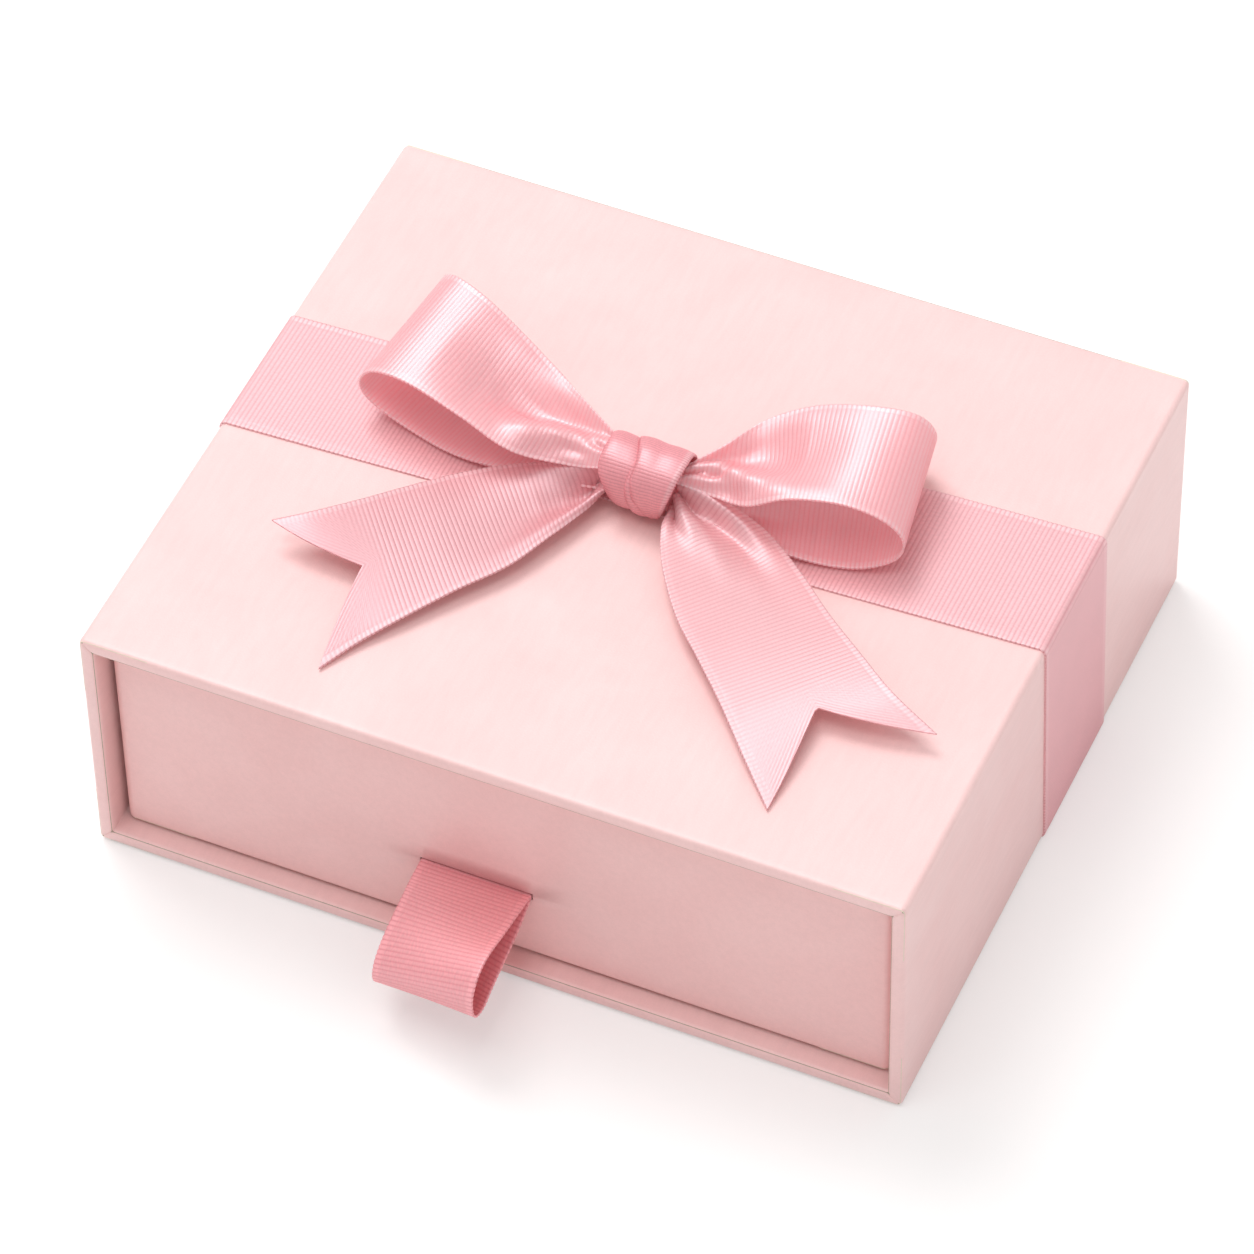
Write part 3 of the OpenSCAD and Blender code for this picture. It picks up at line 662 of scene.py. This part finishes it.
pleats = BAND_PLEAT_H * 4 * spread * (1 - spread) * (0.5 - 0.5 * np.cos(2 * np.pi * BAND_PLEATS * share))
band_middle = np.stack(np.broadcast_arrays(path_x, front_y + width * share,
                                           path_z + sleeve_mid.z + pleats), -1)
along_grid = np.broadcast_to((band_along * ribs * RIB_PITCH / stops[-1])[:, None],
                             band_middle.shape[:2])
band = ribbon_piece("ribbon_band_woven", band_middle, along_grid, band_across, band_shaded_ribbon, ring=True)
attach(band, "sleeve")
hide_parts("ribbon_band")


# ---- Bow loops ----
# Two loops of the same ribbon, shinier face out. Each leaves the knot in crushed pleats,
# opens out flat round its end and comes back to the knot below itself.
BOW_AT = np.array([0.0, 1.5, sleeve_high.z + RIBBON_T])
BOW_W = 26.0
LOOP_LEFT_BACK = [
    (-5.5, 3, 8.5), (-11.5, 6.5, 9), (-19.2, 11.4, 9.3), (-27.6, 15, 12), (-35.7, 17.7, 15),
    (-42.3, 20.3, 14.8), (-45.6, 22.5, 10.5), (-43.5, 24, 4.2), (-35, 24.5, 1), (-24.5, 19.5, 1.5),
    (-13, 10.5, 2.5), (-5.5, 3.5, 3),
]
LOOP_LEFT_FRONT = [
    (-5.5, -2.5, 7.5), (-12.5, -2.5, 5.5), (-21.7, -5, 7.4), (-30.6, -4.1, 10.8), (-40.4, -2.1, 12.2),
    (-47.3, -0.7, 10.8), (-50.1, -0.3, 7), (-48.2, -0.5, 3.4), (-40, -2, 1), (-30.5, -4, 1), (-16.5, -4, 2),
    (-5.5, -2.5, 2.5),
]
LOOP_RIGHT_BACK = [
    (5.5, 2, 8), (10, 7.8, 9), (14.3, 14.9, 9.8), (21.5, 18.4, 12.6), (30.5, 19.3, 15.4), (37.8, 20.7, 15),
    (40.5, 21.9, 10.6), (38, 23.5, 4.2), (29, 24, 1), (20.5, 21, 1), (12, 12, 2), (5.5, 2, 3),
]
LOOP_RIGHT_FRONT = [
    (5.5, -1, 7.5), (11.5, -0.5, 6.5), (18.3, -2, 8.4), (25.3, -1, 11.7), (33.6, 0, 13), (40.2, 0.7, 11.4),
    (43.5, 1.1, 7.6), (42.3, 0.5, 3.4), (36.5, -1.5, 1), (28, -3, 1), (16.5, -3, 2), (5.5, -1.5, 2.5),
]
# How far the pleats stand off the smooth loop. Each row gives its place, counted in
# points along the two edges above, and nine heights from the back edge to the front edge.
LOOP_LEFT_PLEATS = [
    (0.0, (0, -0.4, 0.4, -0.4, 0.5, 0.5, 0.2, 0, -0.2)),
    (0.5, (0, -0.6, -0.3, 0.2, -0.2, 0.6, 0.3, -0.1, -0.4)),
    (1.0, (0, -0.7, -1.2, -0.7, 0.7, 0.7, 0, 0, -0.5)),
    (1.5, (0, -0.7, -1.9, -2.1, 0.3, 1.6, 0.9, 0.1, -0.3)),
    (2.0, (0, -0.6, -1.9, -3.1, -2.5, 0.6, 1.6, 0.9, 0)),
    (2.5, (0, -0.5, -1.6, -2.8, -3.2, -2.1, -0.7, 0, 0.1)),
    (3.0, (0, -0.2, -1, -1.9, -2.3, -2.1, -1.3, -0.5, 0)),
    (3.5, (0, -0.1, -0.4, -0.8, -1, -0.9, -0.6, -0.2, 0)),
    (4.0, (0, 0, 0, 0, 0, 0, 0, 0, 0)),
    (5.0, (0, 0, 0, 0, 0, 0, 0, 0, 0)),
    (8.0, (0, 0, 0, 0, 0, 0, 0, 0, 0)),
    (9.0, (0, 0.1, 0.2, 0.3, 0.2, 0.1, 0, 0, 0)),
    (10.0, (0, 0.7, 0.2, -0.4, 0.6, 0.3, -0.4, 0.5, 0)),
    (11.0, (0, 0.8, -0.6, 0.7, -0.7, 0.7, -0.7, 0.6, 0)),
]
LOOP_RIGHT_PLEATS = [
    (0.0, (0, 0.2, 0.4, -0.2, -0.2, 0.5, 0.3, -0.2, -0.4)),
    (0.5, (0, -0.6, 0.4, 0.6, -0.4, 0.4, 0.6, -0.3, -0.6)),
    (1.0, (0, -1.4, -1.5, 0.7, 1, -0.2, 0.7, -0.2, -0.7)),
    (1.5, (0, -1, -2.3, -2.1, -0.3, 1.6, 0.9, -0.4, -0.5)),
    (2.0, (0, -0.9, -2.3, -2.7, -1.9, 0.3, 1.7, 0.5, -0.2)),
    (2.5, (0, -0.5, -1.6, -2.3, -2.3, -1.3, 0.5, 0.9, 0.1)),
    (3.0, (0, -0.1, -0.7, -1.2, -1.4, -1.1, -0.5, 0.2, 0.1)),
    (4.0, (0, 0, 0, 0, 0, 0, 0, 0, 0)),
    (5.0, (0, 0, 0, 0, 0, 0, 0, 0, 0)),
    (8.0, (0, 0, 0, 0, 0, 0, 0, 0, 0)),
    (9.0, (0, 0.1, 0.2, 0.3, 0.2, 0.1, 0, 0, 0)),
    (10.0, (0, 0.7, 0.2, -0.4, 0.6, 0.3, -0.4, 0.5, 0)),
    (11.0, (0, 0.8, -0.6, 0.7, -0.7, 0.7, -0.7, 0.6, 0)),
]
LOOP_PINK = "#EDB2B6"
LOOP_GAP_SHADE = "#DB8F95"
LOOP_EDGE = "#F4C9CC"
LOOP_SHINE = "#7D7376"
LOOP_THROUGH = 0.38


def smooth_curve(points, at):
    """Points on the smooth curve through a list of points, at counts from its first."""
    p = np.asarray(points, float)
    p = np.concatenate([2 * p[:1] - p[1:2], p, 2 * p[-1:] - p[-2:-1]])
    first = np.clip(np.floor(at).astype(int), 0, len(points) - 2)
    f = (np.asarray(at) - first).reshape(-1, *[1] * (p.ndim - 1))
    a, b, c, d = p[first], p[first + 1], p[first + 2], p[first + 3]
    return 0.5 * (2 * b + (c - a) * f + (2 * a - 5 * b + 4 * c - d) * f ** 2
                  + (3 * b - a - 3 * c + d) * f ** 3)


def pleated_surface(back, front, pleats, rows=1000, columns=121):
    """The middle surface between two edges, raised and sunk by rows of pleat heights."""
    count = np.linspace(0, len(back) - 1, rows)
    share = np.linspace(0, 1, columns)
    back_edge, front_edge = smooth_curve(back, count), smooth_curve(front, count)
    surface = back_edge[:, None] * (1 - share)[:, None] + front_edge[:, None] * share[:, None]
    if pleats is None:
        return surface
    normal = unit(np.cross(np.gradient(surface, axis=0), np.gradient(surface, axis=1)))
    if normal[rows // 5, columns // 2, 2] < 0:
        normal = -normal
    at_rows = np.interp(count, [place for place, heights in pleats], range(len(pleats)))
    heights = smooth_curve([heights for place, heights in pleats], at_rows)
    lift = smooth_curve(heights.T, share * (heights.shape[1] - 1)).T
    return surface + normal * lift[..., None]


def flat_lay(surface, width, ends=(1.0, 1.0, 1.0), notch=0.5, cut_from=1.0, samples=RIB_SAMPLES,
             pitch=RIB_PITCH):
    """Lays a ribbon's threads on a surface: columns an even ribbon width apart and rows
    that follow its ribs. Past cut_from the rows slant to the swallow-tail's cut."""
    across = across_places(width)
    steps = np.linalg.norm(np.diff(surface, axis=1), axis=-1)
    reach = np.concatenate([np.zeros((len(surface), 1)), np.cumsum(steps, 1)], 1)
    wanted = across / width
    laid = np.empty((len(surface), len(across), 3))
    for row in range(len(surface)):
        for axis in range(3):
            laid[row, :, axis] = np.interp(wanted * reach[row, -1], reach[row], surface[row, :, axis])
    centre = laid[:, len(across) // 2 - 4:len(across) // 2 + 5].mean(1)
    length = np.concatenate([[0.0], np.cumsum(np.linalg.norm(np.diff(centre, axis=0), axis=-1))])
    ribs = round(length[-1] / pitch)
    share = np.linspace(0, 1, ribs * samples + 1)
    end = np.interp(across / width, (0.0, notch, 1.0), ends)
    held = np.minimum(share, cut_from)[:, None]
    past = np.maximum(share - cut_from, 0)[:, None] / max(1 - cut_from, 1e-9)
    along = held + past * (end - cut_from)
    middle = np.empty((len(share), len(across), 3))
    for column in range(len(across)):
        for axis in range(3):
            middle[:, column, axis] = np.interp(along[:, column] * length[-1], length,
                                                laid[:, column, axis])
    return middle, along * ribs * pitch, across, length[-1]


loop_ribbon = grosgrain("grosgrain_ribbon_bow_loops", LOOP_PINK, LOOP_GAP_SHADE, LOOP_EDGE,
                        through=LOOP_THROUGH, shine=LOOP_SHINE)
for side, back, front, pleats in (("left", LOOP_LEFT_BACK, LOOP_LEFT_FRONT, LOOP_LEFT_PLEATS),
                                  ("right", LOOP_RIGHT_BACK, LOOP_RIGHT_FRONT, LOOP_RIGHT_PLEATS)):
    surface = pleated_surface(np.array(back) + BOW_AT, np.array(front) + BOW_AT, pleats)
    middle, along, across, length = flat_lay(surface, BOW_W)
    loop = ribbon_piece("bow_" + side + "_loop", middle, along, across, loop_ribbon)
    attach(loop, "sleeve")
    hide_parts("bow_loop_" + side)


# ---- Bow tails ----
# The two ends of the bow's ribbon. Each leaves the knot in front in two soft pleats,
# spreads to its full width and ends in a swallow-tail that is cut with shears. The left
# one is drawn in a deeper pink than the right one: painted shade.
TAIL_LEFT_BACK = [
    (-5.5, -1, 7), (-12, -1.5, 5), (-20, -3, 3), (-27.5, -7.5, 2.5), (-34, -14.5, 3.5), (-40, -21.5, 4.5),
    (-46, -27.5, 5), (-51, -31, 4.5),
]
TAIL_LEFT_FRONT = [
    (-5.5, -3, 3), (-6.7, -7.6, 3.2), (-9.8, -15.4, 3), (-13.4, -23.5, 2.5),
    (-19, -31.4, 2.2), (-24.5, -39.6, 1.6), (-29, -46.4, 0.8), (-32.5, -53, 0.1),
]
TAIL_RIGHT_BACK = [
    (5.5, 0.5, 6.5), (11, 1, 5), (20.5, -1, 3), (29, -6.5, 2.5), (37, -13.5, 3), (45, -20, 4), (53, -26, 4.5),
    (62, -30, 3),
]
TAIL_RIGHT_FRONT = [
    (5.5, -3, 3), (6.1, -8, 3.8), (9.4, -15.2, 3.8), (15.5, -23.8, 3.5),
    (22, -30.3, 3.2), (28.6, -36.9, 2.6), (35.8, -44.6, 1.5), (43, -52, 0.1),
]
TAIL_LEFT_PLEATS = [
    (0.0, (0, 0.4, -0.5, -0.6, -1.6, -1.8, -1, 0.7, -0.2)),
    (0.5, (0, 0.2, -1, -2, -3, -3.2, -2, 0.6, -0.4)),
    (1.0, (0, 0, -1, -2.4, -3.4, -3.4, -2.4, 0, -0.6)),
    (1.5, (0, 0, -0.7, -1.6, -2.4, -2.4, -1.6, -0.1, -0.5)),
    (2.0, (0, 0, -0.3, -0.8, -1.3, -1.4, -0.9, 0, -0.3)),
    (3.0, (0, 0, 0, -0.1, -0.3, -0.4, -0.3, 0, -0.1)),
    (4.0, (0, 0, 0, 0, 0, 0, 0, 0, 0)),
    (7.0, (0, 0, 0, 0, 0, 0, 0, 0, 0)),
]
TAIL_RIGHT_PLEATS = [
    (0.0, (0, 0.5, 0.2, -0.8, 0.3, 0.1, -0.9, 0.2, 0)),
    (0.5, (0, 1.1, 0.1, -1.7, 0.4, 0.5, -1.5, 0.1, 0)),
    (1.0, (0, 1.1, -0.5, -2, 0.3, 1, -0.9, 0.1, 0)),
    (1.5, (0, 0.7, -1.8, -1.4, 0.4, 0.8, 0, 0, 0)),
    (2.0, (0, 0.3, -1.2, -0.6, 0.3, 0.2, 0, 0, 0)),
    (2.5, (0, 0.1, -0.5, -0.2, 0.1, 0, 0, 0, 0)),
    (3.0, (0, 0, -0.1, 0, 0, 0, 0, 0, 0)),
    (4.0, (0, 0, 0, 0, 0, 0, 0, 0, 0)),
    (7.0, (0, 0, 0, 0, 0, 0, 0, 0, 0)),
]
NOTCH_ALONG = 0.79
NOTCH_LEFT = 0.5
NOTCH_RIGHT = 0.45
CUT_FROM = 0.7
CUT_SAMPLES = 8
# The left tail's colours are a deeper pink than the right tail's: painted shade.
LEFT_TAIL_SHADED_PINK = "#E2A2A7"
LEFT_TAIL_SHADED_GAP = "#CD7E85"
LEFT_TAIL_SHADED_EDGE = "#E9B9BD"
BOW_PINK = "#EDB6B9"
BOW_GAP_SHADE = "#DB9198"
BOW_EDGE = "#F0C5C8"
TAIL_THROUGH = 0.25

bow_ribbon = grosgrain("grosgrain_ribbon_bow", BOW_PINK, BOW_GAP_SHADE, BOW_EDGE, through=TAIL_THROUGH)
# The left tail's material is a darker copy of the right tail's: painted shade.
left_tail_shaded_ribbon = grosgrain("grosgrain_ribbon_left_tail_shaded", LEFT_TAIL_SHADED_PINK, LEFT_TAIL_SHADED_GAP, LEFT_TAIL_SHADED_EDGE,
                        through=TAIL_THROUGH)
for side, back, front, pleats, notch, ribbon in (
        ("left", TAIL_LEFT_BACK, TAIL_LEFT_FRONT, TAIL_LEFT_PLEATS, NOTCH_LEFT, left_tail_shaded_ribbon),
        ("right", TAIL_RIGHT_BACK, TAIL_RIGHT_FRONT, TAIL_RIGHT_PLEATS, NOTCH_RIGHT, bow_ribbon)):
    surface = pleated_surface(np.array(back) + BOW_AT, np.array(front) + BOW_AT, pleats)
    middle, along, across, length = flat_lay(surface, BOW_W, (1.0, NOTCH_ALONG, 1.0), notch,
                                             CUT_FROM, CUT_SAMPLES)
    tail = ribbon_piece("bow_" + side + "_tail", middle, along, across, ribbon)
    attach(tail, "sleeve")
    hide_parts("bow_tail_" + side)
    length = round(length)


# ---- Knot ----
# One turn of the ribbon round the gathered middle of the bow. It is pulled into a wide
# fold on each side, and a narrow one between them bulges out below.
KNOT_R = 5.6
KNOT_ALONG = 500
KNOT_ACROSS = 97
KNOT_LIFT = 0.05
KNOT_AT = BOW_AT + np.array([0.0, 0.0, KNOT_R + KNOT_LIFT])
# Turn from the front up over the top, then where the left rim, the crease and the right
# rim lie along X, and how far the folds stand out from the round.
KNOT_TURNS = [
    (215, -6.0, -1.0, 6.0, -0.3), (180, -6.4, -1.6, 6.4, -0.1), (150, -6.7, -2.0, 6.7, 0.0),
    (123, -6.8, -1.8, 6.8, 0.0), (94, -6.5, -0.9, 7.0, 0.0), (67, -6.5, -0.3, 6.8, 0.0),
    (48, -6.5, -0.3, 6.5, 0.0), (28, -6.1, -0.3, 6.1, 0.0), (5, -5.0, 0.2, 5.5, 0.0),
    (-17, -4.2, 1.6, 4.9, 0.1), (-40, -3.7, 2.6, 4.3, 0.2), (-65, -3.4, 2.6, 3.9, 0.0),
    (-95, -3.2, 1.8, 3.6, -0.4),
]
# The same for the narrow fold: turn, middle along X, half width and stand.
MIDDLE_TURNS = [
    (85, -0.5, 0.25, -0.5), (66, -0.5, 0.35, -0.2), (45, -0.65, 0.5, 0.0), (22, -0.8, 0.6, 0.15),
    (2, -0.4, 0.8, 0.25), (-17, 0.5, 1.2, 0.35), (-35, 1.0, 1.7, 0.5), (-52, 1.2, 1.6, 0.3),
    (-75, 1.2, 1.2, -0.4),
]
# Pulled tight, the ribs lie closer together than on the loops.
KNOT_PITCH = 0.55
KNOT_FLAT_W = 10.0
MIDDLE_FLAT_W = 10.0
# The knot and the gathered core are a much deeper pink than the rest of the same ribbon: painted shade.
KNOT_SHADED_PINK = "#E08990"
KNOT_SHADED_GAP = "#C26C73"
KNOT_SHADED_EDGE = "#E4A6AA"

knot_shaded_ribbon = grosgrain("grosgrain_ribbon_knot_shaded", KNOT_SHADED_PINK, KNOT_SHADED_GAP, KNOT_SHADED_EDGE)


def knot_left_section(left, crease):
    """The left fold from its rolled rim to under the crease, as (x, lift) pairs."""
    wide = crease - left
    return [(left + 0.9, -0.75), (left + 0.1, -0.5), (left + 0.15, -0.1), (left + 0.25 * wide, 0.15),
            (left + 0.55 * wide, 0.05), (left + 0.8 * wide, -0.1), (crease + 0.1, -0.45),
            (crease + 1.2, -0.55)]


def knot_right_section(crease, right_rim):
    """The right fold from its lapped edge at the crease to its selvedge."""
    wide = right_rim - crease
    return [(crease + 0.9, -0.05), (crease + 0.1, -0.05), (crease - 0.3, 0.3), (crease + 0.2 * wide, 0.5),
            (crease + 0.45 * wide, 0.25), (crease + 0.7 * wide, 0.3), (right_rim - 0.3, 0.05),
            (right_rim, -0.3)]


def middle_section(middle, half_w):
    """The narrow fold, rolled over and tucked in on both sides."""
    return [(middle + x * half_w, lift) for x, lift in (
        (-1.0, -3.2), (-1.1, -1.8), (-1.1, -0.4), (-0.7, 0.1), (0, 0.3), (0.7, 0.1), (1.1, -0.4),
        (1.1, -1.8), (1.0, -3.2))]


left_turns = [(turn, stand, knot_left_section(rim, crease))
              for turn, rim, crease, _, stand in KNOT_TURNS]
right_turns = [(turn, stand, knot_right_section(crease, rim))
               for turn, _, crease, rim, stand in KNOT_TURNS]
middle_turns = [(turn, stand, middle_section(centre, half_w))
                for turn, centre, half_w, stand in MIDDLE_TURNS]
# Each fold's flat width, whether its left and right edges are selvedges, and its turns.
folds = [
    ("knot_left_fold", KNOT_FLAT_W, (0, 0), left_turns),
    ("knot_right_fold", KNOT_FLAT_W, (0, 1), right_turns),
    ("knot_middle_fold", MIDDLE_FLAT_W, (0, 0), middle_turns),
]
for name, fold_w, selvedges, turns in folds:
    stations = []
    for turn, stand, section in turns:
        out = np.array([0.0, -math.cos(math.radians(turn)), math.sin(math.radians(turn))])
        stations.append([KNOT_AT + np.array([x, 0, 0]) + out * (KNOT_R - RIBBON_T / 2 + stand + lift)
                         for x, lift in section])
    stations = np.array(stations)
    rows = smooth_curve(stations, np.linspace(0, len(stations) - 1, KNOT_ALONG))
    across_rows = smooth_curve(rows.transpose(1, 0, 2), np.linspace(0, rows.shape[1] - 1, KNOT_ACROSS))
    surface = across_rows.transpose(1, 0, 2)
    middle, along, across, length = flat_lay(surface, fold_w, pitch=KNOT_PITCH)
    fold = ribbon_piece(name, middle, along, across, knot_shaded_ribbon, selvedges=selvedges,
                        pitch=KNOT_PITCH)
    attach(fold, "sleeve")
    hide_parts("bow_knot")


# ---- Gathered core ----
# The middle of the bow's grosgrain ribbon, crushed across its width into a round bunch
# of pleats that the knot holds together.
CORE_R = 4.1
CORE_PLEATS = 9
CORE_PLEAT_H = 0.45
CORE_HALF_W = 5.3

around = np.linspace(0, 2 * math.pi, 8 * CORE_PLEATS, endpoint=False)
rings = []
for x, size in ((-1.0, 0.55), (-0.97, 0.86), (-0.85, 1.0), (-0.4, 0.97), (0, 0.95), (0.4, 0.97),
                (0.85, 1.0), (0.97, 0.86), (1.0, 0.55)):
    r = size * (CORE_R + CORE_PLEAT_H * np.cos(CORE_PLEATS * around + 1.5 * x))
    rings.append(np.stack([np.full_like(r, x * CORE_HALF_W), r * np.cos(around), r * np.sin(around)], -1))
rings = np.array(rings) + KNOT_AT
index = np.arange(rings[..., 0].size).reshape(rings.shape[:2])
faces = quads(index, around=True).reshape(-1, 4).tolist()
faces += [index[0, ::-1].tolist(), index[-1].tolist()]
# The core takes the knot's darker material: painted shade.
core = mesh_piece("bow_gathered_core", rings.reshape(-1, 3), faces, knot_shaded_ribbon)
for title, value in (("rib", 0.5), ("selvedge", 0.0)):
    layer = core.data.attributes.new(title, "FLOAT", "POINT")
    layer.data.foreach_set("value", [value] * len(core.data.vertices))
weave = core.data.uv_layers.new(name="weave")
for loop_index, loop_point in enumerate(core.data.loops):
    point = core.data.vertices[loop_point.vertex_index].co
    weave.data[loop_index].uv = (point.x, point.y + point.z)
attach(core, "sleeve")
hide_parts("bow_gather")


# ---- Pull loop ----
# A 19 mm grosgrain ribbon, doubled into a loop. Both ends go through the slit in the
# drawer front and are glued up and down behind the board.
TAB_X = -4.0
TAB_W = 19.0
TAIL_GLUED = 9.0
TAB_LEFT = [
    (0, 0.3), (3.5, 0), (7, -0.8), (13.2, -2.5), (17, -4.6), (18.4, -7.2), (17.6, -9.6), (15.5, -10.8),
    (12.5, -10.2), (9.5, -8), (6.5, -5.5), (3.5, -3), (1.5, -1.2), (0, -0.3),
]
TAB_RIGHT = [
    (0, 0.3), (4, 1.1), (10, 2.3), (15.5, 3.4), (19.5, 2.6), (21.6, 0), (21.8, -3.4), (20.6, -5.8),
    (18, -6.6), (15, -5.6), (11.5, -4.6), (6, -3.2), (2, -1.5), (0, -0.3),
]
SLIT_MOUTH = 0.4
LOOP_OUT = 0.45
PLY_Z = (PLY_GAP + RIBBON_T) / 2
BOARD_BACK = WALL_T - PAPER_T
# The pull ribbon is a deeper pink than the bow's ribbon: painted shade.
TAB_SHADED_PINK = "#E4969B"
TAB_SHADED_GAP = "#D8757D"
TAB_SHADED_EDGE = "#F0A1A6"

tab_shaded_ribbon = grosgrain("grosgrain_ribbon_pull_shaded", TAB_SHADED_PINK, TAB_SHADED_GAP, TAB_SHADED_EDGE)
glued = [(-BOARD_BACK - RIBBON_T / 2, PLY_Z + h) for h in (TAIL_GLUED, TAIL_GLUED / 2, 1.4)]
glued += [(-BOARD_BACK + 0.1, PLY_Z + 0.2), (-BOARD_BACK + 0.8, PLY_Z), (-BOARD_BACK / 2, PLY_Z),
          (-SLIT_MOUTH, PLY_Z)]
edges = []
for x, free in ((TAB_X - TAB_W / 2, TAB_LEFT), (TAB_X + TAB_W / 2, TAB_RIGHT)):
    first, last = (SLIT_MOUTH, PLY_Z), (SLIT_MOUTH, -PLY_Z)
    free = [(out + LOOP_OUT, height) for out, height in free[1:-1]]
    path = glued + [first] + free + [last] + [(out, -height) for out, height in reversed(glued)]
    edges.append([(x, drawer_low.y - out, slit_z + height) for out, height in path])
surface = pleated_surface(np.array(edges[0]), np.array(edges[1]), None)
middle, along, across, length = flat_lay(surface, TAB_W)
pull_loop = ribbon_piece("pull_loop_ribbon", middle, along, across, tab_shaded_ribbon)
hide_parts("pull_tab_loop", "pull_tab_anchor")
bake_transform(pull_loop)
